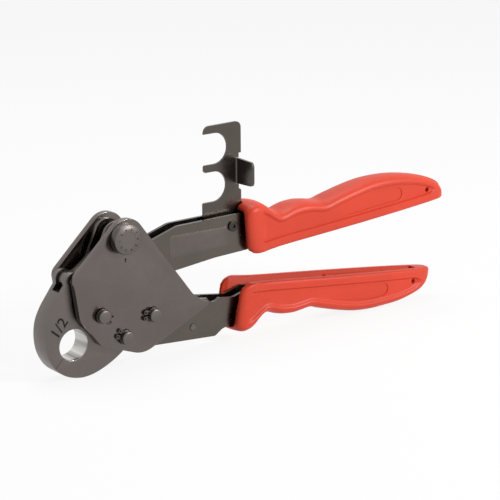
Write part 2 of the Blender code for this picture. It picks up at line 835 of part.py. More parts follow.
def lower_handle_channel(parts, cutters, frame):
    """The lower handle, fixed by the anchor pin and the handle pin, open at the top."""
    tang_start = LOWER_GRIP_START[0] + 9.0
    tang_end = LOWER_GRIP_START[0] + TANG_LENGTH
    tang_high = lower_grip_line(tang_start) - TANG_INSET
    tang_high_end = lower_grip_line(tang_end) - TANG_INSET
    tail = arc(JAW_ANCHOR, EYE_RADIUS, 117.0, 262.0, 14)
    rest = (
        (42.0, -10.9, 10.0),
        (56.0, -11.7, 20.0),
        (97.0, -14.5, 3.0),
        (102.0, -11.2, 2.0),
        (106.0, -10.2, 2.0),
        (tang_start, -9.0, 2.0),
        (tang_start, tang_high - TANG_HEIGHT, 1.0),
        (tang_end, tang_high_end - TANG_HEIGHT, 2.0),
        (tang_end, tang_high_end, 2.0),
        (tang_start + 6.0, tang_high, 3.0),
        (tang_start - 6.0, 6.4, 10.0),
        (88.0, 9.9, 10.0),
        (60.0, 15.0, 10.0),
    )
    crown = arc(HANDLE_PIN, EYE_RADIUS + 0.5, 60.0, 117.0, 6)
    outline = tail + rounded_run(tail[-1], rest, crown[0]) + crown
    pocket = (
        (10.0, 40.0),
        (10.0, -25.0),
        (44.0, -25.0),
        (46.0, -11.2 + SHEET),
        (56.0, -11.7 + SHEET),
        (97.0, -14.5 + SHEET),
        (102.0, -11.2 + SHEET),
        (106.0, -10.2 + SHEET),
        (tang_start, tang_high - TANG_HEIGHT + SHEET),
        (tang_end + 5.0, tang_high_end - TANG_HEIGHT + SHEET),
        (tang_end + 5.0, 40.0),
    )
    handle = channel("lower_handle_channel", outline, pocket, parts, cutters)
    reach = cheek_outer() + 1.0
    hole = PIN_DIAMETER / 2.0 + BORE_CLEARANCE
    through_holes(handle, "lower_pin_hole", (JAW_ANCHOR, HANDLE_PIN), hole, reach, MEDIUM, cutters)
    scallop = cylinder("lower_scallop", HANDLE_SCALLOP, SCALLOP_RADIUS, -reach, 0.0, FINE, cutters)
    cut(handle, scallop)
    cross = CROSS_PIN_DIAMETER / 2.0 + BORE_CLEARANCE
    through_holes(handle, "lower_cross_hole", (CROSS_PIN,), cross, reach, COARSE, cutters)
    finish_piece(handle, STEEL, frame)


# Gauge


def gauge_plate(parts, cutters, frame):
    """The GO / NO-GO gauge: a hooked plate with two notches and a thumb tab."""
    left = 94.6
    right = GAUGE_PIVOT[0] + EDGE_FROM_PIVOT
    no_go_low = 64.02
    no_go_high = no_go_low + NO_GO_WIDTH
    go_low = no_go_high + GAUGE_ARM
    go_high = go_low + GO_WIDTH
    top = go_high + GAUGE_ARM + 0.5
    go_radius = GO_WIDTH / 2.0
    no_go_radius = NO_GO_WIDTH / 2.0
    go_centre = (111.2 - go_radius, go_high - go_radius)
    no_go_centre = (110.2 - no_go_radius, no_go_high - no_go_radius)
    tab_low = 72.5
    tab_high = tab_low + TAB_HEIGHT
    relief = right - TAB_RELIEF
    waist = relief - 3.0
    outline = []
    outline += arc(GAUGE_PIVOT, 6.5, 215.0, 330.0, 10)
    outline += [(right, 51.0), (right, tab_low - 4.2), (right - 0.8, tab_low - 3.4), (relief, tab_low - 3.4)]
    outline += [(relief, tab_low - 0.3), (waist, tab_low - 0.3), (waist, tab_high + 0.3)]
    outline += [(relief, tab_high + 0.3), (relief, tab_high + 2.9), (right, tab_high + 2.9)]
    outline += arc((right - 3.5, top - 3.5), 3.5, 0.0, 86.0, 5)
    outline += arc((98.8, top - 4.3), 4.0, 94.0, 176.0, 5)
    outline += [(left, go_high)]
    outline += arc(go_centre, go_radius, 90.0, -90.0, 20)
    outline += [(left + 0.8, go_low), (left, go_low - 0.8), (left, no_go_high + 0.8), (left + 0.8, no_go_high)]
    outline += arc(no_go_centre, no_go_radius, 90.0, -90.0, 20)
    outline += [(left, no_go_low), (left - 0.7, no_go_low - 0.7), (left - 0.7, 55.0)]
    y_front = GAUGE_OFFSET - GAUGE_THICKNESS / 2.0
    y_rear = GAUGE_OFFSET + GAUGE_THICKNESS / 2.0
    plate = extruded("gauge_plate", outline, y_front, y_rear, parts)
    tab_x = relief
    bend = rounded(
        (
            (waist - 2.0, y_rear, 0.0),
            (waist - 2.0, y_front, 0.0),
            (tab_x - GAUGE_THICKNESS, y_front, 1.0),
            (tab_x - GAUGE_THICKNESS, y_front - TAB_LENGTH, 0.0),
            (tab_x, y_front - TAB_LENGTH, 0.0),
            (tab_x, y_rear, 2.4),
        ),
        15.0,
    )
    reach = TAB_HEIGHT / 2.0 + 1.0
    tab = extruded("gauge_tab", bend, -reach, reach, cutters)
    lift = Matrix.Translation(Vector((0.0, 0.0, (tab_low + tab_high) / 2.0)) * MM)
    tab.data.transform(lift @ Matrix.Rotation(-math.pi / 2.0, 4, "X"))
    leaf = rounded(
        (
            (y_rear + 1.0, tab_low, 0.0),
            (y_rear + 1.0, tab_high, 0.0),
            (0.0, tab_high, 0.0),
            (y_front - TAB_LENGTH, tab_high - TAB_TAPER, TAB_CORNER),
            (y_front - TAB_LENGTH, tab_low + TAB_TAPER, TAB_CORNER),
            (0.0, tab_low, 0.0),
        ),
        22.5,
    )
    blank = extruded("gauge_tab_blank", leaf, -right - 2.0, -waist + 4.0, cutters)
    blank.data.transform(Matrix.Rotation(math.pi / 2.0, 4, "Z"))
    operate(tab, blank, "INTERSECT")
    join(plate, tab)
    hole = SCREW_DIAMETER / 2.0 + BORE_CLEARANCE
    through_holes(plate, "gauge_hole", (GAUGE_PIVOT,), hole, 5.0, COARSE, cutters)
    shift_origin(plate, GAUGE_PIVOT)
    finish_piece(plate, STEEL, frame)


def gauge_pivot(parts, cutters, frame):
    """The gauge's pivot screw, its nut and the two bushes that keep the gauge in line."""
    radius = SCREW_DIAMETER / 2.0
    cheek = cheek_outer()
    head = -cheek - SIDE_CLEARANCE
    profile = (
        (0.0, cheek + 2.9),
        (radius - 0.3, cheek + 2.9),
        (radius, cheek + 2.6),
        (radius, head),
        (3.1, head),
        (3.1, head - 0.7),
        (2.6, head - 1.1),
        (0.0, head - 1.1),
    )
    screw = turned("gauge_pivot_screw", GAUGE_PIVOT, profile, COARSE, parts)
    socket = cylinder("screw_socket", GAUGE_PIVOT, 1.3, head - 2.0, head - 0.2, 6, cutters)
    cut(screw, socket)
    finish_piece(screw, DARK_STEEL, frame)
    nut = cylinder("gauge_pivot_nut", GAUGE_PIVOT, 3.9, cheek + 0.3, cheek + 2.3, 6, parts)
    through_holes(nut, "nut_hole", (GAUGE_PIVOT,), radius + BORE_CLEARANCE, cheek + 5.0, COARSE, cutters)
    finish_piece(nut, DARK_STEEL, frame)
    edge = GAUGE_THICKNESS / 2.0 + 0.15
    hole = radius + BORE_CLEARANCE
    for name, near, far in (
        ("front_gauge_bush", -cheek_inner() + 0.15, GAUGE_OFFSET - edge),
        ("rear_gauge_bush", GAUGE_OFFSET + edge, cheek_inner() - 0.15),
    ):
        washer(name, GAUGE_PIVOT, hole, radius + 1.6, near, far, parts, frame)


# Grips


def panel_depth(along):
    """How far the side panel lies under the grip's side, which is nothing at both its ends."""
    return PANEL_DEPTH if PANEL_START < along < PANEL_END else 0.0


def grip_section(along, height, half_width, rake, toe):
    """Half a section of the grip from its inner edge to its crown: (lean back, y, height)."""
    waist = half_width - panel_depth(along)
    ledge = min(BEAD_HEIGHT, height * 0.45)
    crease = max(height - 5.0, ledge + 1.2)
    side = (
        (half_width - 0.5, 0.0),
        (half_width, 0.6),
        (half_width, ledge),
        (waist, ledge + 0.6),
        (waist, crease - 0.6),
        (half_width, crease),
        (half_width - 0.7, height - 2.6),
        (half_width - 2.6, height - 0.9),
        (half_width * 0.45, height - 0.15),
        (0.0, height),
    )
    fade = max(0.0, 1.0 - along / 24.0)
    leans = [rake * (1.0 - v / height) ** 2 + toe * max(0.0, 1.0 - v / BEAD_HEIGHT) ** 2 for _, v in side]
    return [(fade * lean, y, v) for lean, (y, v) in zip(leans, side)]


def grip_loft(name, rake, toe, collection):
    """The grip's outer form, closed at both ends, with its inner edge on the x axis."""
    bm = bmesh.new()
    rings = []
    for along, height, half_width in GRIP_STATIONS:
        half = grip_section(along, height, half_width, rake, toe)
        left = [(along + shift, -y, v) for shift, y, v in half]
        right = [(along + shift, y, v) for shift, y, v in reversed(half[:-1])]
        rings.append([bm.verts.new(Vector(point) * MM) for point in left + right])
    for first, second in zip(rings, rings[1:]):
        count = len(first)
        for i in range(count):
            k = (i + 1) % count
            bm.faces.new((first[i], first[k], second[k], second[i]))
    bm.faces.new(rings[0][::-1])
    bm.faces.new(rings[-1])
    bmesh.ops.recalc_face_normals(bm, faces=bm.faces)
    return mesh_object(name, bm, collection)


def grip_cavity(name, collection):
    """The space inside the grip, open along its inner edge and at the collar."""
    bm = bmesh.new()
    rings = []
    mouth = GRIP_STATIONS[2]
    stations = [(-16.0, mouth[1], mouth[2])]
    stations += [station for station in GRIP_STATIONS if mouth[0] <= station[0] < GRIP_SPACE_END]
    stations.append(grip_station(GRIP_SPACE_END))
    for along, height, half_width in stations:
        inner = half_width - GRIP_WALL - PANEL_DEPTH
        roof = height - GRIP_CROWN
        points = (
            (-inner, -1.0),
            (-inner, roof - 2.0),
            (-inner + 2.0, roof),
            (inner - 2.0, roof),
            (inner, roof - 2.0),
            (inner, -1.0),
        )
        rings.append([bm.verts.new(Vector((along, y, v)) * MM) for y, v in points])
    for first, second in zip(rings, rings[1:]):
        count = len(first)
        for i in range(count):
            k = (i + 1) % count
            bm.faces.new((first[i], first[k], second[k], second[i]))
    bm.faces.new(rings[0][::-1])
    bm.faces.new(rings[-1])
    bmesh.ops.recalc_face_normals(bm, faces=bm.faces)
    return mesh_object(name, bm, collection)


def grip_station(along):
    """The grip's distance, height and half width between two of its stations."""
    for first, second in zip(GRIP_STATIONS, GRIP_STATIONS[1:]):
        if first[0] <= along <= second[0]:
            share = (along - first[0]) / (second[0] - first[0])
            return tuple(a + share * (b - a) for a, b in zip(first, second))
    return GRIP_STATIONS[-1]


def grip(name, start, tilt, rake, toe, flipped, neck, notch_x, parts, cutters):
    """A moulded grip: a crowned shell with a raked collar, ribs inside and a hanging hole."""
    body = grip_loft(name, rake, toe, parts)
    shell_space = grip_cavity(name + "_space", cutters)
    ribs = []
    for number, along in enumerate(GRIP_RIBS):
        reach = grip_station(along + RIB_THICKNESS)[2] - PANEL_DEPTH - GRIP_WALL / 2.0
        rib = box(
            f"{name}_rib_{number}", (along, along + RIB_THICKNESS), (-reach, reach), (0.6, 15.0), cutters
        )
        ribs.append(rib)
    tang = cheek_outer() + TANG_CLEARANCE
    low = TANG_INSET - TANG_CLEARANCE
    high = TANG_INSET + TANG_HEIGHT + TANG_CLEARANCE
    tang_space = box(name + "_tang_space", (-20.0, 120.0), (-tang, tang), (low, high), cutters)
    collar_space = box(name + "_collar_space", neck[0], (-tang - 0.4, tang + 0.4), neck[1], cutters)
    hole = cylinder(name + "_hole", GRIP_HOLE, GRIP_HOLE_DIAMETER / 2.0, -15.0, 15.0, 12, cutters)
    cut(body, shell_space)
    join(body, *ribs)
    notch = box(name + "_notch", notch_x, (GAUGE_OFFSET - 2.2, GAUGE_OFFSET + 2.2), (15.0, 40.0), cutters)
    cut(body, tang_space, collar_space, hole, notch)
    for boolean in body.modifiers:
        boolean.solver = "MANIFOLD"
    place = Matrix.Translation(Vector((start[0], 0.0, start[1])) * MM)
    place = place @ Matrix.Rotation(math.radians(-tilt), 4, "Y")
    if flipped:
        place = place @ Matrix.Rotation(math.pi, 4, "X")
    for piece in [body, shell_space, tang_space, collar_space, hole, notch] + ribs:
        piece.data.transform(place)
    return body


def grips(parts, cutters, frame):
    """Both grips, from one moulding: the upper one crown up, the lower one crown down."""
    upper_neck = ((-20.0, 7.5), (-3.0, 26.0))
    upper = grip(
        "upper_grip", UPPER_GRIP_START, UPPER_GRIP_TILT, UPPER_GRIP_RAKE, UPPER_GRIP_TOE, False,
        upper_neck, (-20.0, 7.0), parts, cutters
    )
    shift_origin(upper, ADJUSTER)
    finish_piece(upper, RED_PLASTIC, frame)
    lower_neck = ((-20.0, 16.0), (-3.0, 27.1))
    lower = grip(
        "lower_grip", LOWER_GRIP_START, LOWER_GRIP_TILT, LOWER_GRIP_RAKE, LOWER_GRIP_TOE, True,
        lower_neck, (-20.0, 2.5), parts, cutters
    )
    finish_piece(lower, RED_PLASTIC, frame)


def main():
    """Build the tool."""
    clear_scene()
    parts = new_collection("pex_crimp_ring_tool")
    cutters = new_collection("cutters")
    frame = bpy.data.objects.new("tool_frame", None)
    frame.location = Vector((-BORE_TO_MIDDLE, 0.0, GROUND_TO_BORE)) * MM
    frame.rotation_euler.y = -math.radians(STANDING_LEAN)
    parts.objects.link(frame)

    side_plates(parts, cutters, frame)
    fixed_jaw(parts, cutters, frame)
    moving_jaw(parts, cutters, frame)
    push_link(parts, cutters, frame)
    plain_pin("fork_pin", FORK, FORK_PIN_DIAMETER, JAW_THICKNESS / 2.0 - 0.2, 0.4, parts, frame)
    plain_pin("knee_pin", KNEE, KNEE_PIN_DIAMETER, cheek_outer() - 0.1, 0.4, parts, frame)
    plate_pins(parts, frame)
    retaining_rings(parts, cutters, frame)
    adjuster_pin(parts, cutters, frame)
    washers_and_spacers(parts, frame)
    upper_handle_channel(parts, cutters, frame)
    lower_handle_channel(parts, cutters, frame)
    plain_pin("lower_cross_pin", CROSS_PIN, CROSS_PIN_DIAMETER, cheek_outer() + 0.6, 0.3, parts, frame)
    gauge_plate(parts, cutters, frame)
    gauge_pivot(parts, cutters, frame)
    grips(parts, cutters, frame)

    for tool in cutters.objects:
        tool.parent = frame


main()
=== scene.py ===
"""Looks for the PEX crimp ring tool: finer pieces, finishes, studio and camera.

Places on the tool are written in millimetres of its own plane: x from the ring die towards the
grips, z up, and y across the tool with the dial at -y. The bore's centre is (0, 0).
"""

from __future__ import annotations

import logging
import math
from dataclasses import dataclass
from enum import Enum
from typing import Sequence

import bmesh
import bpy
from mathutils import Matrix, Vector

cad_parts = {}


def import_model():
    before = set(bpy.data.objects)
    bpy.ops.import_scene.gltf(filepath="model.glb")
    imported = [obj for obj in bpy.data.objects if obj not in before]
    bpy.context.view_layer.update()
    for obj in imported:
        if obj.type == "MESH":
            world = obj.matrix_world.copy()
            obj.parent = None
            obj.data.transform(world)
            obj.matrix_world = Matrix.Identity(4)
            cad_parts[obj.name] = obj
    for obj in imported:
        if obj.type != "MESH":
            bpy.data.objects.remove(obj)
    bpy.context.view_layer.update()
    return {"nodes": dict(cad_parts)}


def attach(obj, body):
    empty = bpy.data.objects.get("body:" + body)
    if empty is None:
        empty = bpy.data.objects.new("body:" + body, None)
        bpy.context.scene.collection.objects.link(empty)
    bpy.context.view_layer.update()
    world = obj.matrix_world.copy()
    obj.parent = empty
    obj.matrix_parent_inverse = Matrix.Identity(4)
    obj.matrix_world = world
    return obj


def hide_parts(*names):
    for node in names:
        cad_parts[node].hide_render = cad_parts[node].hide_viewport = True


LOG = logging.getLogger("crimp_tool")

Flat = tuple[float, float]
Range = tuple[float, float]
Place = tuple[float, float, float]
Corner = tuple[float, float, float]
Station = tuple[float, float, float]
Rgb = tuple[float, float, float]
Colour = tuple[float, float, float, float]

MM = 0.001
BORE_IN_WORLD = Vector((-128.1, 0.0, 20.0))
STANDING_LEAN = 0.28
STANDING_TURN = Matrix.Rotation(-math.radians(STANDING_LEAN), 4, "Y")
TOOL_PLACE = Matrix.Translation(BORE_IN_WORLD * MM) @ STANDING_TURN
UPRIGHT = Matrix.Rotation(math.pi / 2.0, 4, "X")
OWN_PLACE = Matrix.Identity(4)
WHITE: Colour = (1.0, 1.0, 1.0, 1.0)


class Body(Enum):
    """The tool's rigid bodies."""

    FRAME = "frame"
    MOVING_JAW = "moving_jaw"
    PUSH_LINK = "push_link"
    UPPER_HANDLE = "upper_handle"
    ADJUSTER = "adjuster"
    GAUGE = "gauge"


class Slot(Enum):
    """The record's material slots."""

    BLACKENED = "blackened_steel"
    PIN = "dark_pin_steel"
    SPRING = "spring_steel"
    PLASTIC = "red_plastic"


class Carving(Enum):
    """What a tool does to its target."""

    CUT = "DIFFERENCE"
    JOIN = "UNION"


# Places on the tool

BORE: Flat = (0.0, 0.0)
JAW_HINGE: Flat = (15.6, 15.2)
JAW_ANCHOR: Flat = (30.6, 0.0)
HANDLE_PIN: Flat = (49.4, 9.5)
ADJUSTER: Flat = (30.5, 57.2)
FORK: Flat = (1.0, 36.0)
KNEE: Flat = (20.0, 42.0)

# Sizes that several pieces share

PLATE_INNER = 8.0
PLATE_OUTER = 12.0
PIN_HOLE = 3.95
FORK_PIN_HOLE = 2.35
MARK_DEPTH = 0.3

# How finely and closely meshes are made

EDGE_STEPS = 2
WELD = 1e-6
FINE_WELD = 1e-7
SHARP_ANGLE = 30.0
TURNED_SHARP_ANGLE = 40.0


def world(x: float, y: float, z: float) -> Vector:
    """A place on the tool, in metres of the row frame.

    Args:
        x: distance from the bore towards the grips, in millimetres.
        y: distance across the tool, away from the dial.
        z: height over the bore.

    Returns:
        The point in metres.
    """
    return TOOL_PLACE @ (Vector((x, y, z)) * MM)


# Flat outlines


def polar(centre: Flat, radius: float, angle: float) -> Flat:
    """The point at a distance and an angle in degrees from a centre."""
    turn = math.radians(angle)
    return (centre[0] + radius * math.cos(turn), centre[1] + radius * math.sin(turn))


def arc(centre: Flat, radius: float, start: float, end: float, steps: int) -> list[Flat]:
    """Points on an arc between two angles in degrees, both ends included."""
    return [polar(centre, radius, start + (end - start) * i / steps) for i in range(steps + 1)]


def circle(centre: Flat, radius: float, steps: int = 48) -> list[Flat]:
    """A closed circle."""
    return arc(centre, radius, 0.0, 360.0, steps)[:-1]


def bearing(start: Flat, end: Flat) -> float:
    """Angle in degrees of the line from one point to another."""
    return math.degrees(math.atan2(end[1] - start[1], end[0] - start[0]))


def distance(start: Flat, end: Flat) -> float:
    """Distance between two flat points."""
    return math.hypot(end[0] - start[0], end[1] - start[1])


def rounded(corners: Sequence[Corner], degrees_per_step: float = 5.0) -> list[Flat]:
    """A closed outline with filleted corners.

    Args:
        corners: (x, z, fillet radius), listed anticlockwise.
        degrees_per_step: how finely the fillets are stepped.

    Returns:
        The outline's points.
    """
    points: list[Flat] = []
    count = len(corners)
    for i, (x, z, radius) in enumerate(corners):
        corner = Vector((x, z))
        before = (Vector(corners[i - 1][:2]) - corner).normalized()
        after = (Vector(corners[(i + 1) % count][:2]) - corner).normalized()
        turn = math.pi - before.angle(after)
        if radius <= 0.0 or turn < 1e-4:
            points.append((x, z))
            continue
        reach = radius * math.tan(turn / 2.0)
        first = corner + before * reach
        last = corner + after * reach
        centre = corner + (before + after).normalized() * (radius / math.cos(turn / 2.0))
        start = math.atan2(first.y - centre.y, first.x - centre.x)
        sweep = math.atan2(last.y - centre.y, last.x - centre.x) - start
        sweep = (sweep + math.pi) % (2.0 * math.pi) - math.pi
        steps = max(1, math.ceil(math.degrees(abs(sweep)) / degrees_per_step))
        for k in range(steps + 1):
            angle = start + sweep * k / steps
            points.append((centre.x + radius * math.cos(angle), centre.y + radius * math.sin(angle)))
    return points


def catmull(a: float, b: float, c: float, d: float, t: float) -> float:
    """Catmull-Rom blend of four values.

    Args:
        a: the value before the stretch.
        b: the value at its start.
        c: the value at its end.
        d: the value after it.
        t: how far along the stretch, from 0 to 1.

    Returns:
        The blended value.
    """
    linear = 0.5 * (c - a)
    square = a - 2.5 * b + 2.0 * c - 0.5 * d
    cube = 0.5 * (d - a) + 1.5 * (b - c)
    return b + t * (linear + t * (square + t * cube))


def smooth(knots: Sequence[Sequence[float]], steps: int) -> list[tuple[float, ...]]:
    """Points on a smooth open curve through the knots.

    Args:
        knots: what the curve passes through, with any number of values each.
        steps: how many steps lie between two knots.

    Returns:
        The curve's points, both ends included.
    """
    points = []
    last = len(knots) - 1
    for i in range(last):
        group = (knots[max(i - 1, 0)], knots[i], knots[i + 1], knots[min(i + 2, last)])
        for k in range(steps):
            points.append(tuple(catmull(*values, k / steps) for values in zip(*group)))
    points.append(tuple(knots[-1]))
    return points


def roundness(share: float) -> float:
    """Height of a quarter circle, from 0 at its foot to 1 at its top."""
    return math.sqrt(max(0.0, 1.0 - (1.0 - share) ** 2))


# Solids


def new_object(name: str, bm: bmesh.types.BMesh) -> bpy.types.Object:
    """An object from a bmesh, linked to the scene.

    Args:
        name: the object's name.
        bm: its mesh in metres, which is used up.

    Returns:
        The object.
    """
    mesh = bpy.data.meshes.new(name)
    bm.to_mesh(mesh)
    bm.free()
    obj = bpy.data.objects.new(name, mesh)
    bpy.context.scene.collection.objects.link(obj)
    return obj


def evaluated_mesh(obj: bpy.types.Object) -> bpy.types.Mesh:
    """A new mesh of an object as its modifiers leave it.

    Args:
        obj: the object, which stays as it is.

    Returns:
        The mesh.
    """
    graph = bpy.context.evaluated_depsgraph_get()
    graph.update()
    return bpy.data.meshes.new_from_object(obj.evaluated_get(graph))


def filled(curve: bpy.types.Curve, weld: float) -> bmesh.types.BMesh:
    """The welded mesh of a curve or of figures, still lying flat.

    Args:
        curve: the curve.
        weld: points closer than this are joined, in metres.

    Returns:
        A bmesh in the curve's own frame.
    """
    flat = bpy.data.objects.new(curve.name, curve)
    bpy.context.scene.collection.objects.link(flat)
    mesh = evaluated_mesh(flat)
    bpy.data.objects.remove(flat, do_unlink=True)
    bm = bmesh.new()
    bm.from_mesh(mesh)
    bpy.data.meshes.remove(mesh)
    bmesh.ops.remove_doubles(bm, verts=bm.verts, dist=weld)
    return bm


def plate(
    name: str,
    outline: Sequence[Flat],
    y_front: float,
    y_rear: float,
    edge: float = 0.4,
    holes: Sequence[Sequence[Flat]] = (),
) -> bpy.types.Object:
    """A flat piece with rounded edges.

    Args:
        name: the object's name.
        outline: closed outline in the tool plane.
        y_front: depth of its front face.
        y_rear: depth of its rear face.
        edge: radius of the edges, which keeps the outline's size.
        holes: closed outlines of holes.

    Returns:
        A welded mesh object in the row frame.
    """
    curve = bpy.data.curves.new(name, "CURVE")
    curve.dimensions = "2D"
    curve.fill_mode = "BOTH"
    curve.extrude = ((y_rear - y_front) / 2.0 - edge) * MM
    curve.bevel_depth = edge * MM
    curve.bevel_resolution = EDGE_STEPS
    curve.offset = -edge * MM
    for loop in (outline, *holes):
        spline = curve.splines.new("POLY")
        spline.points.add(len(loop) - 1)
        for point, (x, z) in zip(spline.points, loop):
            point.co = (x * MM, z * MM, 0.0, 1.0)
        spline.use_cyclic_u = True
    bm = filled(curve, WELD)
    middle = Vector((0.0, (y_front + y_rear) / 2.0, 0.0)) * MM
    bm.transform(TOOL_PLACE @ Matrix.Translation(middle) @ UPRIGHT)
    bmesh.ops.recalc_face_normals(bm, faces=bm.faces)
    return new_object(name, bm)


def turned(name: str, centre: Flat, profile: Sequence[Flat], segments: int = 64) -> bpy.types.Object:
    """A turned piece along y.

    Args:
        name: the object's name.
        centre: its axis in the tool plane.
        profile: (radius, y) from the rear end to the front end, with 0 radius at both ends.
        segments: steps round the axis.

    Returns:
        A mesh object in the row frame.
    """
    bm = bmesh.new()
    rings = []
    for radius, y in profile:
        count = segments if radius > 0.0 else 1
        ring = []
        for i in range(count):
            angle = 2.0 * math.pi * i / segments
            x = centre[0] + radius * math.cos(angle)
            z = centre[1] + radius * math.sin(angle)
            ring.append(bm.verts.new(world(x, y, z)))
        rings.append(ring)
    for first, second in zip(rings, rings[1:]):
        for i in range(segments):
            k = (i + 1) % segments
            around = ((first, i), (first, k), (second, k), (second, i))
            corners = list(dict.fromkeys(ring[j % len(ring)] for ring, j in around))
            if len(corners) > 2:
                bm.faces.new(corners)
    bmesh.ops.recalc_face_normals(bm, faces=bm.faces)
    return new_object(name, bm)


def block(
    name: str, low: Sequence[float], high: Sequence[float], place: Matrix = OWN_PLACE
) -> bpy.types.Object:
    """A box-shaped cutter or rib between two corners.

    Args:
        name: the object's name.
        low: its lowest corner, in millimetres.
        high: its highest corner.
        place: the frame that the corners are given in.

    Returns:
        A mesh object.
    """
    bm = bmesh.new()
    bmesh.ops.create_cube(bm, size=1.0)
    size = Vector([b - a for a, b in zip(low, high)]) * MM
    middle = Vector([a + b for a, b in zip(low, high)]) * (MM / 2.0)
    bm.transform(place @ Matrix.Translation(middle) @ Matrix.Diagonal(size).to_4x4())
    return new_object(name, bm)


def skin(bm: bmesh.types.BMesh, rings: Sequence[Sequence[bmesh.types.BMVert]]) -> None:
    """Faces between rings of points, with both ends closed.

    Args:
        bm: the bmesh that holds the points.
        rings: the rings in order, all with as many points.
    """
    for first, second in zip(rings, rings[1:]):
        count = len(first)
        for i in range(count):
            k = (i + 1) % count
            bm.faces.new((first[i], first[k], second[k], second[i]))
    bm.faces.new(rings[0][::-1])
    bm.faces.new(rings[-1])
    bmesh.ops.recalc_face_normals(bm, faces=bm.faces)


def figures(
    name: str, text: str, size: float, centre: Flat, y: float, turn: float, bold: float
) -> bpy.types.Object:
    """Figures on a face that looks towards -y.

    Args:
        name: the object's name.
        text: the figures.
        size: their height of line, in millimetres.
        centre: their middle in the tool plane.
        y: depth of the face.
        turn: their slope in degrees.
        bold: how far the strokes are thickened.

    Returns:
        A thin mesh object just proud of the face.
    """
    half_thickness = 0.1
    sunk = 0.07
    curve = bpy.data.curves.new(name, "FONT")
    curve.body = text
    curve.size = size * MM
    curve.align_x = "CENTER"
    curve.align_y = "CENTER"
    curve.offset = bold * MM
    curve.extrude = half_thickness * MM
    bm = filled(curve, FINE_WELD)
    place = TOOL_PLACE @ Matrix.Translation(Vector((centre[0], y + sunk, centre[1])) * MM)
    bm.transform(place @ Matrix.Rotation(-math.radians(turn), 4, "Y") @ UPRIGHT)
    return new_object(name, bm)


def carve(
    target: bpy.types.Object, tools: Sequence[bpy.types.Object], carving: Carving = Carving.CUT
) -> None:
    """Cut tools from a target for good, or join them on, and remove them.

    Args:
        target: the piece.
        tools: closed objects, which are used up.
        carving: whether they are cut away or joined on.
    """
    for tool in tools:
        boolean = target.modifiers.new(tool.name, "BOOLEAN")
        boolean.operation = carving.value
        boolean.solver = "MANIFOLD"
        boolean.object = tool
    result = evaluated_mesh(target)
    target.modifiers.clear()
    old = target.data
    target.data = result
    bpy.data.meshes.remove(old)
    for tool in tools:
        bpy.data.objects.remove(tool, do_unlink=True)


def shade(obj: bpy.types.Object, angle: float) -> None:
    """Smooth shading with sharp edges over an angle."""
    obj.data.shade_smooth()
    obj.data.set_sharp_from_angle(angle=math.radians(angle))


# Finishes


def tinted(colour: Rgb, share: float) -> Colour:
    """A colour made darker or lighter by a share."""
    return tuple(min(1.0, channel * share) for channel in colour) + (1.0,)


class Nodes:
    """A material's node tree with short ways to add to it."""

    def __init__(self, name: str) -> None:
        """Start a material with a Principled shader.

        Args:
            name: the material's name.
        """
        self.material = bpy.data.materials.new(name)
        self.material.use_nodes = True
        self.tree = self.material.node_tree
        self.shader = self.tree.nodes["Principled BSDF"]
        self.place = self.add("ShaderNodeTexCoord").outputs["Object"]

    def add(self, kind: str) -> bpy.types.Node:
        """Add a node."""
        return self.tree.nodes.new(kind)

    def link(self, source: bpy.types.NodeSocket, target: bpy.types.NodeSocket) -> None:
        """Link two sockets."""
        self.tree.links.new(source, target)

    def noise(self, scale: float, detail: float, stretch: Sequence[float]) -> bpy.types.NodeSocket:
        """Noise over the object.

        Args:
            scale: one over the size of its features, in metres.
            detail: how many finer layers it has.
            stretch: a factor on the scale along each axis.

        Returns:
            A socket with values from 0 to 1.
        """
        mapping = self.add("ShaderNodeMapping")
        mapping.inputs["Scale"].default_value = tuple(stretch)
        self.link(self.place, mapping.inputs["Vector"])
        noise = self.add("ShaderNodeTexNoise")
        noise.inputs["Scale"].default_value = scale
        noise.inputs["Detail"].default_value = detail
        self.link(mapping.outputs["Vector"], noise.inputs["Vector"])
        return noise.outputs["Fac"]

    def cloud(self, source: bpy.types.NodeSocket, colour: Rgb, variation: float, edge: float) -> None:
        """Let the base colour drift a little darker and lighter.

        Args:
            source: the noise that it follows.
            colour: the finish's colour.
            variation: how much darker and lighter it gets, as a share.
            edge: the noise at which it is darkest, with the lightest as far from 1.
        """
        ramp = self.add("ShaderNodeValToRGB")
        self.link(source, ramp.inputs["Fac"])
        dark, light = ramp.color_ramp.elements
        dark.position = edge
        dark.color = tinted(colour, 1.0 - variation)
        light.position = 1.0 - edge
        light.color = tinted(colour, 1.0 + variation)
        self.link(ramp.outputs["Color"], self.shader.inputs["Base Color"])

    def roughen(self, source: bpy.types.NodeSocket, limits: Range) -> None:
        """Let the roughness follow noise between two limits.

        Args:
            source: the noise.
            limits: the least and the most roughness.
        """
        mapped = self.add("ShaderNodeMapRange")
        mapped.inputs["From Min"].default_value = 0.3
        mapped.inputs["From Max"].default_value = 0.7
        mapped.inputs["To Min"].default_value = limits[0]
        mapped.inputs["To Max"].default_value = limits[1]
        self.link(source, mapped.inputs["Value"])
        self.link(mapped.outputs["Result"], self.shader.inputs["Roughness"])

    def bump(self, source: bpy.types.NodeSocket, strength: float, depth: float) -> None:
        """Relief from noise.

        Args:
            source: the noise.
            strength: how much of it shows.
            depth: its depth in metres.
        """
        bump = self.add("ShaderNodeBump")
        bump.inputs["Strength"].default_value = strength
        bump.inputs["Distance"].default_value = depth
        self.link(source, bump.inputs["Height"])
        self.link(bump.outputs["Normal"], self.shader.inputs["Normal"])


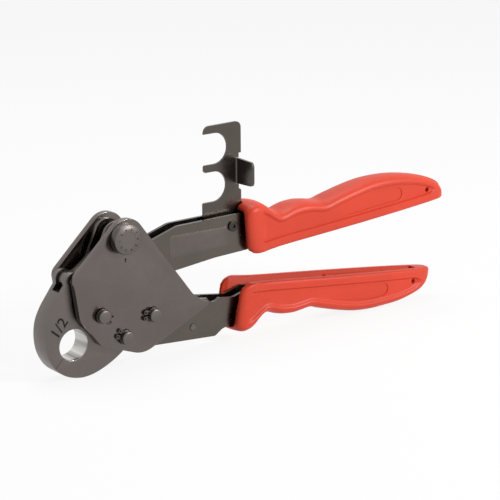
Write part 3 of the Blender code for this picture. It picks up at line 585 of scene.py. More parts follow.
@dataclass(frozen=True)
class SteelFinish:
    """Steel with a black oxide or bright surface."""

    name: str
    colour: Rgb
    roughness: Range
    metallic: float = 1.0
    specular: float = 0.5
    variation: float = 0.05
    cloud: float = 55.0
    cloud_detail: float = 5.0
    cloud_edge: float = 0.3
    grain: float = 900.0
    grain_detail: float = 3.0
    grain_strength: float = 0.35
    grain_depth: float = 0.00002
    stretch: Place = (1.0, 1.0, 1.0)

    def build(self) -> bpy.types.Material:
        """Make the material.

        Returns:
            The material.
        """
        nodes = Nodes(self.name)
        cloud = nodes.noise(self.cloud, self.cloud_detail, self.stretch)
        streaks = nodes.noise(self.grain / 3.0, self.grain_detail, self.stretch)
        grain = nodes.noise(self.grain, self.grain_detail, self.stretch)
        nodes.cloud(cloud, self.colour, self.variation, self.cloud_edge)
        nodes.roughen(streaks, self.roughness)
        nodes.bump(grain, self.grain_strength, self.grain_depth)
        nodes.shader.inputs["Metallic"].default_value = self.metallic
        nodes.shader.inputs["Specular IOR Level"].default_value = self.specular
        return nodes.material


@dataclass(frozen=True)
class PlasticFinish:
    """Moulded plastic with a fine spark-eroded grain."""

    name: str
    colour: Rgb
    roughness: Range
    specular: float = 0.38
    variation: float = 0.05
    cloud: float = 28.0
    cloud_detail: float = 3.0
    cloud_edge: float = 0.35
    grain: float = 1600.0
    grain_detail: float = 2.0
    grain_strength: float = 0.3
    grain_depth: float = 0.00003
    glow: float = 0.04
    glow_depth: float = 0.002
    stretch: Place = (1.0, 1.0, 1.0)

    def build(self) -> bpy.types.Material:
        """Make the material.

        Returns:
            The material.
        """
        nodes = Nodes(self.name)
        cloud = nodes.noise(self.cloud, self.cloud_detail, self.stretch)
        grain = nodes.noise(self.grain, self.grain_detail, self.stretch)
        nodes.cloud(cloud, self.colour, self.variation, self.cloud_edge)
        nodes.roughen(grain, self.roughness)
        nodes.bump(grain, self.grain_strength, self.grain_depth)
        nodes.shader.inputs["Specular IOR Level"].default_value = self.specular
        nodes.shader.inputs["Subsurface Weight"].default_value = self.glow
        nodes.shader.inputs["Subsurface Scale"].default_value = self.glow_depth
        return nodes.material


Finish = SteelFinish | PlasticFinish

PLATE_STEEL = SteelFinish("plate_black_oxide", (0.147, 0.125, 0.115), (0.20, 0.28))
JAW_STEEL = SteelFinish("jaw_black_oxide", (0.156, 0.136, 0.125), (0.28, 0.38))
SHEET_STEEL = SteelFinish("handle_sheet_black_oxide", (0.120, 0.104, 0.093), (0.22, 0.30))
LABEL_STEEL = SteelFinish("bare_label_field", (0.135, 0.118, 0.108), (0.30, 0.40))
GAUGE_STEEL = SteelFinish("gauge_sheet_black_oxide", (0.100, 0.087, 0.077), (0.24, 0.32))
PIN_STEEL = SteelFinish("turned_pin_steel", (0.150, 0.132, 0.122), (0.34, 0.44))
# Ring steel, which is also used as painted shade on the dial head's side.
RING_STEEL_AND_SIDE_SHADE = SteelFinish("ring_spring_steel_and_side_shade", (0.100, 0.089, 0.082), (0.28, 0.40))
SOCKET_STEEL = SteelFinish("socket_black_steel", (0.060, 0.054, 0.050), (0.34, 0.46))
BORE_STEEL = SteelFinish(
    "bore_bright_steel",
    (0.44, 0.43, 0.41),
    (0.14, 0.24),
    variation=0.60,
    cloud=260.0,
    grain=1200.0,
    grain_depth=0.00001,
    stretch=(1.0, 0.04, 1.0),
)
MARK_DARK = SteelFinish(
    "stamped_mark_dark", (0.016, 0.015, 0.015), (0.6, 0.7), metallic=0.0, specular=0.12, variation=0.1
)
GRIP_RED = PlasticFinish("grip_red_plastic", (0.620, 0.044, 0.014), (0.40, 0.50))


class Palette:
    """Every finish, made once."""

    def __init__(self) -> None:
        """Make nothing yet."""
        self.made: dict[str, bpy.types.Material] = {}

    def get(self, finish: Finish) -> bpy.types.Material:
        """The material of a finish.

        Args:
            finish: the finish.

        Returns:
            Its material, made when it is first asked for.
        """
        if finish.name not in self.made:
            self.made[finish.name] = finish.build()
        return self.made[finish.name]


@dataclass
class Workshop:
    """The loaded frame and what every sub-assembly needs to dress it."""

    nodes: dict[str, bpy.types.Object]
    palette: Palette
    bevel_angle: float = 40.0

    def fit(
        self,
        obj: bpy.types.Object,
        body: Body,
        finish: Finish,
        nodes: Sequence[str] = (),
        angle: float = SHARP_ANGLE,
    ) -> None:
        """Finish a piece, let it ride on its body and stand for CAD nodes.

        Args:
            obj: the piece.
            body: the body it moves with.
            finish: its finish, unless it already has one.
            nodes: names of the CAD nodes that it stands for.
            angle: edges over this angle stay sharp.
        """
        if not any(obj.data.materials):
            obj.data.materials.clear()
            obj.data.materials.append(self.palette.get(finish))
        shade(obj, angle)
        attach(obj, body.value)
        if nodes:
            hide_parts(*nodes)
        LOG.info("%s on %s", obj.name, body.value)

    def dress(self, name: str, finish: Finish, edge: float = 0.0) -> None:
        """Keep a CAD node's shape, round its edges and give it a finish.

        Args:
            name: the node.
            finish: its finish.
            edge: radius of its edges, in millimetres.
        """
        obj = self.nodes[name]
        materials = obj.data.materials
        material = self.palette.get(finish)
        if materials:
            for i in range(len(materials)):
                materials[i] = material
        else:
            materials.append(material)
        if edge > 0.0:
            bevel = obj.modifiers.new("edges", "BEVEL")
            bevel.width = edge * MM
            bevel.segments = EDGE_STEPS
            bevel.limit_method = "ANGLE"
            bevel.angle_limit = math.radians(self.bevel_angle)
            bevel.harden_normals = True
        LOG.info("%s dressed", name)


# Sub-assemblies


@dataclass
class SidePlates:
    """The two kite-shaped plates, with the dial's index mark."""

    adjuster_hole: float = 5.15
    edge: float = 0.4
    corners: tuple[Corner, ...] = (
        (34.5, 73.3, 11.6),
        (-2.2, 38.6, 6.0),
        (1.35, 15.0, 5.0),
        (14.9, -2.55, 3.0),
        (42.6, -12.7, 16.0),
        (90.1, 8.7, 1.2),
        (82.5, 12.2, 6.0),
        (77.1, 16.5, 6.0),
    )
    mark: tuple[Corner, ...] = ((31.1, 45.2, 0.1), (32.5, 45.2, 0.1), (31.8, 42.3, 0.1))
    mark_proud: float = 0.03
    mark_edge: float = 0.02

    def build(self, shop: Workshop) -> None:
        """Make both plates and the mark.

        Args:
            shop: what dresses them.
        """
        holes = [circle(centre, PIN_HOLE) for centre in (JAW_HINGE, JAW_ANCHOR, HANDLE_PIN)]
        holes.append(circle(ADJUSTER, self.adjuster_hole))
        outline = rounded(self.corners)
        for name, side in (("front", -1), ("rear", 1)):
            limits = sorted((side * PLATE_INNER, side * PLATE_OUTER))
            piece = plate(f"{name}_plate", outline, *limits, self.edge, holes)
            shop.fit(piece, Body.FRAME, PLATE_STEEL, [f"{name}_side_plate"])
        front = -PLATE_OUTER - self.mark_proud
        rear = -PLATE_OUTER + MARK_DEPTH
        mark = plate("index_mark", rounded(self.mark), front, rear, self.mark_edge)
        shop.fit(mark, Body.FRAME, MARK_DARK)


@dataclass
class RingDie:
    """The fixed and moving jaws round the bore."""

    radius: float = 9.0
    half: float = 6.5
    hub: float = 9.0
    tongue: float = 3.1
    slot: float = 3.4
    relief: float = 9.3
    anchor: float = 9.0
    anchor_start: float = -58.0
    fork: float = 5.2
    fork_end: float = 200.0
    fork_floor: float = 30.6
    fork_room: Range = (-15.0, 25.0)
    fork_top: float = 45.0
    gap: float = 0.03
    edge: float = 0.3
    sharp_edge: float = 0.01
    swing: float = 35.0
    bore_wall: float = 0.7
    back: tuple[Flat, ...] = (
        (-3.9, 34.2), (-8.0, 28.8), (-13.2, 21.6), (-16.6, 14.6),
        (-17.8, 7.0), (-17.2, -0.5), (-15.1, -6.8), (-12.1, -11.7),
    )
    belly: tuple[Flat, ...] = (
        (-12.1, -11.7), (-8.4, -15.2), (-3.0, -18.2), (4.0, -19.9), (10.5, -19.7),
        (17.5, -17.9), (25.0, -14.6), (31.0, -11.0), (35.1, -7.8),
    )
    handle_eye: float = 8.4
    handle_sweep: Range = (122.7, 262.0)
    handle_room: tuple[Flat, ...] = ((42.0, -11.4), (70.0, -12.8), (70.0, 25.2), (54.4, 25.2))
    stamp_text: str = "1/2"
    stamp_size: float = 9.4
    stamp_place: Flat = (-8.8, 11.3)
    stamp_turn: float = 50.0
    stamp_bold: float = 0.10

    def parting(self, point: Flat, side: int) -> Flat:
        """A point moved to one side of the line on which the die splits.

        Args:
            point: the point.
            side: 1 towards the moving jaw or -1 towards the fixed one.

        Returns:
            The moved point.
        """
        angle = math.radians(bearing(BORE, JAW_HINGE) + 90.0)
        shift = self.gap * side
        return (point[0] + shift * math.cos(angle), point[1] + shift * math.sin(angle))

    def cutter(
        self, name: str, centre: Flat, radius: float, front: float = -PLATE_INNER, rear: float = PLATE_INNER
    ) -> bpy.types.Object:
        """A round cutter along y."""
        return turned(name, centre, ((0.0, rear), (radius, rear), (radius, front), (0.0, front)))

    def polish_bore(self, jaw: bpy.types.Object, shop: Workshop) -> None:
        """Give the bore's wall its own bright finish.

        Args:
            jaw: either half of the die.
            shop: where the finishes come from.
        """
        jaw.data.materials.clear()
        jaw.data.materials.append(shop.palette.get(JAW_STEEL))
        jaw.data.materials.append(shop.palette.get(BORE_STEEL))
        axis = world(*BORE, 0.0)
        for face in jaw.data.polygons:
            middle = face.center
            from_axis = math.hypot(middle.x - axis.x, middle.z - axis.z) / MM
            in_bore = abs(face.normal.y) < 0.9 and abs(from_axis - self.radius) < self.bore_wall
            face.material_index = 1 if in_bore else 0

    def fixed_outline(self) -> list[Flat]:
        """The lower right half.

        Returns:
            Its closed outline.
        """
        parting = bearing(BORE, JAW_HINGE)
        to_hinge = bearing(JAW_ANCHOR, JAW_HINGE)
        outline = smooth(self.belly, steps=8)
        outline[0] = self.parting(outline[0], -1)
        outline += arc(JAW_ANCHOR, self.anchor, self.anchor_start, to_hinge - 90.0, steps=24)
        hub = arc(JAW_HINGE, self.hub, to_hinge - 90.0 - self.swing, parting + 180.0, steps=48)
        hub[-1] = self.parting(hub[-1], -1)
        slack = math.degrees(math.asin(self.gap / self.radius))
        bore = arc(BORE, self.radius, parting - slack, parting - 180.0 + slack, steps=60)
        return outline + hub + bore

    def handle_space(self) -> list[Flat]:
        """The room that the lower handle's eye takes beside the fixed jaw's tongue."""
        return arc(JAW_ANCHOR, self.handle_eye, *self.handle_sweep, steps=24) + list(self.handle_room)

    def moving_outline(self) -> list[Flat]:
        """The upper left half.

        Returns:
            Its closed outline.
        """
        parting = bearing(BORE, JAW_HINGE)
        to_fork = bearing(JAW_HINGE, FORK)
        lean = math.degrees(math.asin((self.hub - self.fork) / distance(JAW_HINGE, FORK)))
        outline = smooth(self.back, steps=8)
        outline[-1] = self.parting(outline[-1], 1)
        slack = math.degrees(math.asin(self.gap / self.radius))
        bore = arc(BORE, self.radius, parting + 180.0 - slack, parting + slack, steps=60)
        hub = arc(JAW_HINGE, self.hub, parting + 180.0, to_fork + 270.0 + lean, steps=56)
        hub[0] = self.parting(hub[0], 1)
        eye = arc(FORK, self.fork, to_fork - 90.0 + lean, self.fork_end, steps=36)
        return outline + bore + hub + eye[:-1]

    def fixed_jaw(self, shop: Workshop) -> None:
        """Make the fixed jaw, with a tongue at the hinge and room for the lower handle.

        Args:
            shop: what dresses it.
        """
        jaw = plate("fixed_jaw_forging", self.fixed_outline(), -self.half, self.half, self.edge)
        tools = [self.cutter("anchor_hole", JAW_ANCHOR, PIN_HOLE)]
        tools.append(self.cutter("hinge_hole", JAW_HINGE, PIN_HOLE))
        for side in (-1, 1):
            near, far = sorted((side * self.tongue, side * PLATE_INNER))
            tools.append(self.cutter("hub_relief", JAW_HINGE, self.relief, near, far))
            tools.append(plate("handle_relief", self.handle_space(), near, far, self.sharp_edge))
        carve(jaw, tools)
        self.polish_bore(jaw, shop)
        shop.fit(jaw, Body.FRAME, JAW_STEEL, ["fixed_jaw"])

    def moving_jaw(self, shop: Workshop) -> None:
        """Make the moving jaw, with two cheeks at the hinge and a fork for the push link.

        Args:
            shop: what dresses it.
        """
        jaw = plate("moving_jaw_forging", self.moving_outline(), -self.half, self.half, self.edge)
        tools = [self.cutter("hinge_hole", JAW_HINGE, PIN_HOLE)]
        tools.append(self.cutter("fork_hole", FORK, FORK_PIN_HOLE))
        tools.append(self.cutter("hub_slot", JAW_HINGE, self.relief, -self.slot, self.slot))
        low = (self.fork_room[0], -self.slot, self.fork_floor)
        high = (self.fork_room[1], self.slot, self.fork_top)
        tools.append(block("fork_slot", low, high, TOOL_PLACE))
        carve(jaw, tools)
        self.polish_bore(jaw, shop)
        shop.fit(jaw, Body.MOVING_JAW, JAW_STEEL, ["moving_jaw"])

    def stamp(self, shop: Workshop) -> None:
        """Stamp the nominal ring size beside the bore.

        Args:
            shop: what dresses it.
        """
        stamp = figures(
            "size_stamp", self.stamp_text, self.stamp_size, self.stamp_place,
            -self.half, self.stamp_turn, self.stamp_bold,
        )
        shop.fit(stamp, Body.MOVING_JAW, MARK_DARK)

    def build(self, shop: Workshop) -> None:
        """Make both halves of the die, the stamp and the fork pin.

        Args:
            shop: what dresses them.
        """
        self.fixed_jaw(shop)
        self.moving_jaw(shop)
        self.stamp(shop)
        shop.dress("fork_pin", PIN_STEEL)


@dataclass
class PushLink:
    """The strut from the fork to the knee, with a waist between its two eyes."""

    half: float = 3.0
    edge: float = 0.4
    fork_eye: float = 3.9
    fork_sweep: Range = (88.0, 268.0)
    knee_eye: float = 6.85
    knee_hole: float = 4.75
    knee_sweep: Range = (228.0, 500.0)
    underside: tuple[Flat, ...] = ((1.2, 32.1), (6.0, 32.9), (11.5, 36.2), (15.4, 37.0))
    top: tuple[Flat, ...] = ((14.9, 46.5), (10.2, 43.0), (6.0, 40.4), (1.2, 39.9))

    def build(self, shop: Workshop) -> None:
        """Make the link.

        Args:
            shop: what dresses it.
        """
        outline = arc(FORK, self.fork_eye, *self.fork_sweep, steps=32)
        outline += smooth(self.underside, steps=6)[1:-1]
        outline += arc(KNEE, self.knee_eye, *self.knee_sweep, steps=48)
        outline += smooth(self.top, steps=6)[1:-1]
        holes = [circle(FORK, FORK_PIN_HOLE), circle(KNEE, self.knee_hole)]
        piece = plate("push_link_strut", outline, -self.half, self.half, self.edge, holes)
        shop.fit(piece, Body.PUSH_LINK, JAW_STEEL, ["push_link"])


@dataclass
class AdjusterDial:
    """The adjuster pin with its dial head and the numbers on it."""

    radius: float = 8.6
    back: float = -12.3
    face: float = -17.8
    shaft: tuple[Flat, ...] = (
        (0.0, 17.8), (4.2, 17.8), (4.7, 17.6), (4.95, 17.2), (4.95, 13.5), (4.3, 13.45), (4.3, 12.35),
        (4.95, 12.3), (4.95, 7.8), (4.4, 7.7), (4.4, -7.7), (4.95, -7.8),
    )
    rim: tuple[Flat, ...] = (
        (0.0, 1.1), (0.1, 0.75), (0.4, 0.4), (0.8, 0.25), (1.25, 0.22), (1.4, 0.12), (1.55, 0.0),
        (3.9, 0.0), (4.0, 0.12),
    )
    back_edge: float = 0.3
    segments: int = 96
    numbers: int = 10
    number_size: float = 2.0
    number_bold: float = 0.03
    number_inset: float = 2.7
    first_number: float = 142.0

    def build(self, shop: Workshop) -> None:
        """Make the pin with its head, and the numbers on its face.

        Args:
            shop: what dresses them.
        """
        head = [(self.shaft[-1][0], self.back), (self.radius - self.back_edge, self.back)]
        head.append((self.radius, self.back - self.back_edge))
        head += [(self.radius - inset, self.face + depth) for inset, depth in self.rim]
        head.append((0.0, self.face + self.rim[-1][1]))
        pin = turned("adjuster_dial", ADJUSTER, list(self.shaft) + head, self.segments)
        # The dial head's side gets painted shade.
        self.paint_side_shade(pin, shop)
        shop.fit(pin, Body.ADJUSTER, PIN_STEEL, ["adjuster_pin"], TURNED_SHARP_ANGLE)
        for value in range(self.numbers):
            self.number(shop, value)

    def paint_side_shade(self, pin: bpy.types.Object, shop: Workshop) -> None:
        """Paint shade on the head's side, which is left darker than its turned face.

        Args:
            pin: the pin.
            shop: where the finishes come from.
        """
        pin.data.materials.append(shop.palette.get(PIN_STEEL))
        pin.data.materials.append(shop.palette.get(RING_STEEL_AND_SIDE_SHADE))
        # Painted shade: every side face of the head takes the darker ring steel.
        for face in pin.data.polygons:
            if abs(face.normal.y) < 0.3:
                face.material_index = 1

    def number(self, shop: Workshop, value: int) -> None:
        """Make one number of the scale, upright from the dial's centre.

        Args:
            shop: what dresses it.
            value: the number.
        """
        angle = self.first_number + 360.0 * value / self.numbers
        spot = polar(ADJUSTER, self.radius - self.number_inset, angle)
        name = f"dial_number_{value}"
        mark = figures(name, str(value), self.number_size, spot, self.face, angle - 90.0, self.number_bold)
        shop.fit(mark, Body.ADJUSTER, MARK_DARK)


@dataclass
class PlatePins:
    """The three pins through the plates and the rings that hold them."""

    radius: float = 3.8
    end: float = 15.8
    end_edge: tuple[Flat, ...] = ((0.7, 0.0), (0.3, 0.12), (0.05, 0.5), (0.0, 0.9))
    groove: float = 12.3
    groove_width: float = 1.2
    groove_depth: float = 0.7
    segments: int = 48
    adjuster_radius: float = 5.0
    front_ring: float = -13.4
    rear_ring: float = 12.4
    ring_bite: float = 0.55
    ring_width: float = 1.0
    ring_thickness: float = 1.0
    ring_edge: float = 0.12
    lug_reach: float = 3.3
    lug_spacing: float = 32.0
    lug_half: float = 11.0
    lug_hole: float = 0.5
    lug_corner: float = 0.4
    lug_heel: float = 0.5
    lug_turn: float = 4.0
    lug_steps: int = 5

    def profile(self) -> list[Flat]:
        """The pin's profile, mirrored front to back.

        Returns:
            Points as (radius, y) from the rear end to the front end.
        """
        floor = self.radius - self.groove_depth
        inner = self.groove + self.groove_width
        half = [(0.0, self.end)]
        half += [(self.radius - inset, self.end - drop) for inset, drop in self.end_edge]
        half += [(self.radius, inner), (floor, inner), (floor, self.groove), (self.radius, self.groove)]
        return half + [(radius, -y) for radius, y in reversed(half)]

    def build(self, shop: Workshop) -> None:
        """Make the pins and the rings.

        Args:
            shop: what dresses them.
        """
        for name, centre, front, rear in (
            ("hinge", JAW_HINGE, -28.0, 20.0),
            ("anchor", JAW_ANCHOR, 150.0, 240.0),
            ("handle", HANDLE_PIN, 175.0, 300.0),
        ):
            node = "handle_pin" if name == "handle" else f"jaw_{name}_pin"
            pin = turned(f"{name}_pin_turned", centre, self.profile(), self.segments)
            shop.fit(pin, Body.FRAME, PIN_STEEL, [node], TURNED_SHARP_ANGLE)
            self.ring(shop, f"front_{name}_pin_ring", centre, self.radius, self.front_ring, front)
            self.ring(shop, f"rear_{name}_pin_ring", centre, self.radius, self.rear_ring, rear)
        self.ring(shop, "rear_adjuster_ring", ADJUSTER, self.adjuster_radius, self.rear_ring, 90.0)

    def lug(self, tip: float) -> list[Flat]:
        """One lug's outline.

        Args:
            tip: how far the lug reaches from the pin's centre.

        Returns:
            Points as (radius, angle from the middle of the ring's opening).
        """
        start = self.lug_spacing / 2.0 - self.lug_half
        end = self.lug_spacing / 2.0 + self.lug_half
        first = start + self.lug_turn
        last = end - self.lug_turn
        corner = tip - self.lug_corner
        heel = tip - self.lug_heel
        crown = [(tip, first + (last - first) * i / self.lug_steps) for i in range(self.lug_steps + 1)]
        return [
            (corner, start), (corner, start + self.lug_turn / 2.0), *crown,
            (heel, end), (heel, end + self.lug_turn / 4.0),
        ]

    def ring(
        self, shop: Workshop, node: str, centre: Flat, pin: float, y_front: float, heading: float
    ) -> None:
        """A snap ring, open between two lugs with holes for the pliers.

        Args:
            shop: what dresses it.
            node: the CAD node that it stands for.
            centre: its pin's axis.
            pin: the pin's radius.
            y_front: depth of the ring's front face.
            heading: the direction in which it opens, in degrees.
        """
        inner = pin - self.ring_bite
        tip = pin + self.lug_reach
        lug = self.lug(tip)
        far_lug = [(radius, 360.0 - angle) for radius, angle in reversed(lug)]
        shoulder = lug[-1][1] + 2.0 * self.lug_turn
        outline = [polar(centre, radius, heading + angle) for radius, angle in lug]
        outer = inner + self.ring_width
        outline += arc(centre, outer, heading + shoulder, heading + 360.0 - shoulder, steps=40)
        outline += [polar(centre, radius, heading + angle) for radius, angle in far_lug]
        outline += arc(centre, inner, heading + far_lug[-1][1], heading + lug[0][1], steps=56)
        holes = []
        for side in (-1, 1):
            eye = polar(centre, tip - 2.0 * self.lug_hole, heading + side * self.lug_spacing / 2.0)
            holes.append(circle(eye, self.lug_hole, steps=16))
        y_rear = y_front + self.ring_thickness
        piece = plate(f"{node}_clip", outline, y_front, y_rear, self.ring_edge, holes)
        shop.fit(piece, Body.FRAME, RING_STEEL_AND_SIDE_SHADE, [node])


@dataclass
class Handles:
    """The two sheet channels, which keep their CAD shape, and what is pinned in them."""

    edge: float = 0.35
    pin_edge: float = 0.15
    screw_edge: float = 0.2
    cheek: float = 5.4
    label: tuple[Corner, ...] = (
        (66.0, 37.6, 2.0), (107.0, 38.6, 2.0), (107.0, 49.6, 2.0), (66.0, 50.6, 2.0),
    )
    label_proud: float = 0.06
    label_edge: float = 0.03

    def build(self, shop: Workshop) -> None:
        """Dress the channels, the bare field on the upper one and the small parts.

        Args:
            shop: what dresses them.
        """
        shop.dress("upper_handle_channel", SHEET_STEEL, self.edge)
        shop.dress("lower_handle_channel", SHEET_STEEL, self.edge)
        front = -self.cheek - self.label_proud
        rear = -self.cheek + MARK_DEPTH
        label = plate("bare_label_field", rounded(self.label), front, rear, self.label_edge)
        shop.fit(label, Body.UPPER_HANDLE, LABEL_STEEL)
        for name in ("lower_cross_pin", "gauge_pivot_nut"):
            shop.dress(name, PIN_STEEL, self.pin_edge)
        shop.dress("knee_pin", PIN_STEEL)
        shop.dress("gauge_pivot_screw", SOCKET_STEEL, self.screw_edge)
        for end in ("front", "rear"):
            for part in ("jaw_washer", "anchor_spacer", "handle_spacer", "adjuster_spacer", "gauge_bush"):
                shop.dress(f"{end}_{part}", RING_STEEL_AND_SIDE_SHADE, self.pin_edge)


@dataclass
class Gauge:
    """The hooked gauge plate, which keeps its CAD shape."""

    edge: float = 0.25

    def build(self, shop: Workshop) -> None:
        """Dress the gauge."""
        shop.dress("gauge_plate", GAUGE_STEEL, self.edge)


@dataclass
class Grip:
    """A moulded grip: a crowned shell with finger waves, a side panel, an inner trough and ribs.

    Its own frame runs along the grip from the collar, with v up from the inner edge to the crown.
    A station is (distance along, height, half width).
    """

    name: str
    node: str
    body: Body
    start: Flat
    tilt: float
    flipped: bool
    rake: float
    toe: float
    setback: float
    brow: float
    neck: tuple[Range, Range]
    notch_end: float
    nose: tuple[Station, ...]
    wall: float = 2.6
    crown: float = 3.2
    bead: float = 5.0
    bead_share: float = 0.45
    crease_drop: float = 5.0
    crease_rise: float = 1.2
    lean_reach: float = 24.0
    inner_edge: tuple[Flat, ...] = ((1.5, 0.0), (0.8, 0.2), (0.25, 0.75), (0.0, 1.5))
    crown_edge: tuple[Flat, ...] = ((0.1, 3.9), (0.45, 2.9), (1.2, 1.95), (2.3, 1.2), (3.8, 0.7))
    crown_top: tuple[Flat, ...] = ((0.42, 0.3), (0.2, 0.08))
    panel: float = 1.5
    panel_start: float = 11.5
    panel_end: float = 151.0
    panel_lead: float = 3.0
    panel_tail: float = 9.0
    panel_mouth: float = 0.75
    panel_brow: float = 4.3
    panel_below: Range = (1.1, 0.6)
    panel_above: Range = (2.5, 0.8)
    least_opening: float = 0.02
    cutter_proud: float = 0.02
    cutter_reach: float = 2.0
    soft_step: tuple[Flat, ...] = (
        (0.15, 0.07), (0.35, 0.28), (0.5, 0.5), (0.65, 0.72), (0.85, 0.93), (1.0, 1.0),
    )
    field_depth: float = 0.4
    field_start: float = 76.0
    field_end: float = 123.0
    field_reach: float = 4.0
    field_margin: Range = (2.2, 7.6)
    mouth: float = -16.0
    mouth_edge: tuple[Flat, ...] = ((0.4, -1.0), (0.4, 0.6), (0.0, 1.4))
    roof_edge: tuple[Flat, ...] = ((0.0, 2.0), (0.6, 0.6), (2.0, 0.0))
    space_end: float = 148.0
    tang: float = 5.77
    tang_low: float = 4.63
    tang_high: float = 15.37
    tang_end: float = 120.0
    channel_start: float = -20.0
    neck_play: float = 0.4
    notch_width: Range = (-1.2, 3.2)
    notch_height: Range = (15.0, 40.0)
    ribs: tuple[float, ...] = (81.0, 127.0, 136.5)
    rib: float = 1.3
    rib_height: Range = (2.4, 15.0)
    hole: Flat = (144.6, 8.0)
    hole_radius: float = 1.6
    hole_depth: float = 30.0
    sharp_angle: float = 32.0
    stations: tuple[Station, ...] = (
        (0.0, 27.9, 9.4), (0.35, 28.1, 10.4), (1.2, 28.6, 11.3), (2.7, 29.2, 12.0), (4.8, 29.7, 12.4),
        (8.0, 29.9, 12.4), (11.5, 29.4, 11.9), (14.5, 28.6, 11.4), (18.0, 26.6, 11.1),
        (22.5, 23.2, 10.6), (27.0, 20.4, 10.2), (31.0, 20.0, 10.1), (36.0, 21.2, 10.0),
        (41.0, 21.9, 10.0), (48.0, 21.8, 10.0), (54.0, 20.7, 10.0), (60.0, 19.3, 10.0),
        (64.0, 19.2, 10.0), (69.0, 20.2, 10.0), (76.0, 21.4, 9.9), (86.0, 22.9, 9.8),
        (98.0, 24.1, 9.5), (110.0, 23.9, 9.1), (121.0, 22.6, 8.7),
    )

    def __post_init__(self) -> None:
        """Add the nose to the stations."""
        self.stations = self.stations + self.nose

    def place(self) -> Matrix:
        """From the grip's own frame to the row frame.

        Returns:
            The transform.
        """
        place = TOOL_PLACE @ Matrix.Translation(Vector((self.start[0], 0.0, self.start[1])) * MM)
        place = place @ Matrix.Rotation(math.radians(-self.tilt), 4, "Y")
        if self.flipped:
            place = place @ Matrix.Rotation(math.pi, 4, "X")
        return place

    def station(self, along: float) -> Flat:
        """The grip's size at a distance along it.

        Args:
            along: the distance from the collar.

        Returns:
            Height and half width.
        """
        for first, second in zip(self.stations, self.stations[1:]):
            if first[0] <= along <= second[0]:
                share = (along - first[0]) / (second[0] - first[0])
                height = first[1] + share * (second[1] - first[1])
                return (height, first[2] + share * (second[2] - first[2]))
        return self.stations[-1][1:]

    def section(self, height: float, half: float) -> list[Flat]:
        """Half a section from the inner edge to the crown.

        Args:
            height: the section's height.
            half: its half width.

        Returns:
            Points as (y, v).
        """
        bead = min(self.bead, height * self.bead_share)
        crease = max(height - self.crease_drop, bead + self.crease_rise)
        side = (bead * 0.5, bead, (bead * 2.0 + crease) / 3.0, (bead + crease * 2.0) / 3.0, crease)
        points = [(half - inset, v) for inset, v in self.inner_edge]
        points += [(half, v) for v in side]
        points += [(half - inset, height - drop) for inset, drop in self.crown_edge]
        points += [(half * share, height - drop) for share, drop in self.crown_top]
        return points + [(0.0, height)]

    def lean(self, along: float, v: float, height: float) -> float:
        """How far a point leans back from the square start of the collar.

        Args:
            along: the point's distance from the collar.
            v: its height over the inner edge.
            height: the section's height.

        Returns:
            The shift along the grip.
        """
        fade = max(0.0, 1.0 - along / self.lean_reach)
        foot = self.toe * max(0.0, 1.0 - v / self.bead) ** 2
        head = self.brow * max(0.0, 4.0 * v / height - 3.0) ** 2
        return fade * (self.setback + self.rake * (1.0 - v / height) ** 2 + foot + head)

    def loft(self) -> bpy.types.Object:
        """The outer form, without its panels.

        Returns:
            A closed mesh in the grip's own frame.
        """
        bm = bmesh.new()
        rings = []
        for along, height, half in smooth(self.stations, steps=5):
            side = self.section(height, half)
            ring = [(along + self.lean(along, v, height), -y, v) for y, v in side]
            ring += [(along + self.lean(along, v, height), y, v) for y, v in reversed(side[:-1])]
            rings.append([bm.verts.new(Vector(point) * MM) for point in ring])
        skin(bm, rings)
        return new_object(self.name, bm)

    def spread(self, length: float, lead: float, tail: float, steps: int) -> list[float]:
        """Distances along a recess, closer together at its round ends.

        Args:
            length: the recess's length.
            lead: how long its near end is.
            tail: how long its far end is.
            steps: how many steps each end gets.

        Returns:
            The distances from its start.
        """
        near = [1.0 - math.cos(math.radians(90.0 / steps * i)) for i in range(1, steps + 1)]
        distances = [lead * share for share in near]
        distances += [lead + 2.0 * i for i in range(1, int((length - lead - tail) / 2.0))]
        return distances + [length - tail * share for share in reversed(near)]

    def recess(self, side: int) -> bpy.types.Object:
        """The cutter of one side panel, whose soft edges follow the waves.

        Args:
            side: -1 for the front or 1 for the rear.

        Returns:
            A closed mesh in the grip's own frame.
        """
        bm = bmesh.new()
        rings = []
        lead = self.panel_lead
        tail = self.panel_tail
        length = self.panel_end - self.panel_start
        for d in self.spread(length, lead, tail, steps=9):
            along = self.panel_start + d
            height, half = self.station(along)
            high = height - self.panel_brow
            openness = self.panel_mouth + (1.0 - self.panel_mouth) * roundness(min(1.0, d / lead))
            openness *= roundness(min(1.0, (length - d) / tail))
            centre = (self.bead + high) / 2.0
            tall = max(self.least_opening, (high - self.bead) / 2.0 * openness)
            foot, head = centre - tall, centre + tall
            depth = self.panel * min(1.0, d / lead, (length - d) / tail * 2.0)
            below = min(self.panel_below[0], tall * self.panel_below[1])
            above = min(self.panel_above[0], tall * self.panel_above[1])
            profile = [(half + self.cutter_reach, foot), (half + self.cutter_proud, foot)]
            profile += [(half - depth * share, foot + below * step) for step, share in self.soft_step]
            profile += [(half - depth * share, head - above * step) for step, share in self.soft_step[::-1]]
            profile += [(half + self.cutter_proud, head), (half + self.cutter_reach, head)]
            rings.append([bm.verts.new(Vector((along, side * y, v)) * MM) for y, v in profile])
        skin(bm, rings)
        return new_object(self.name + "_recess", bm)

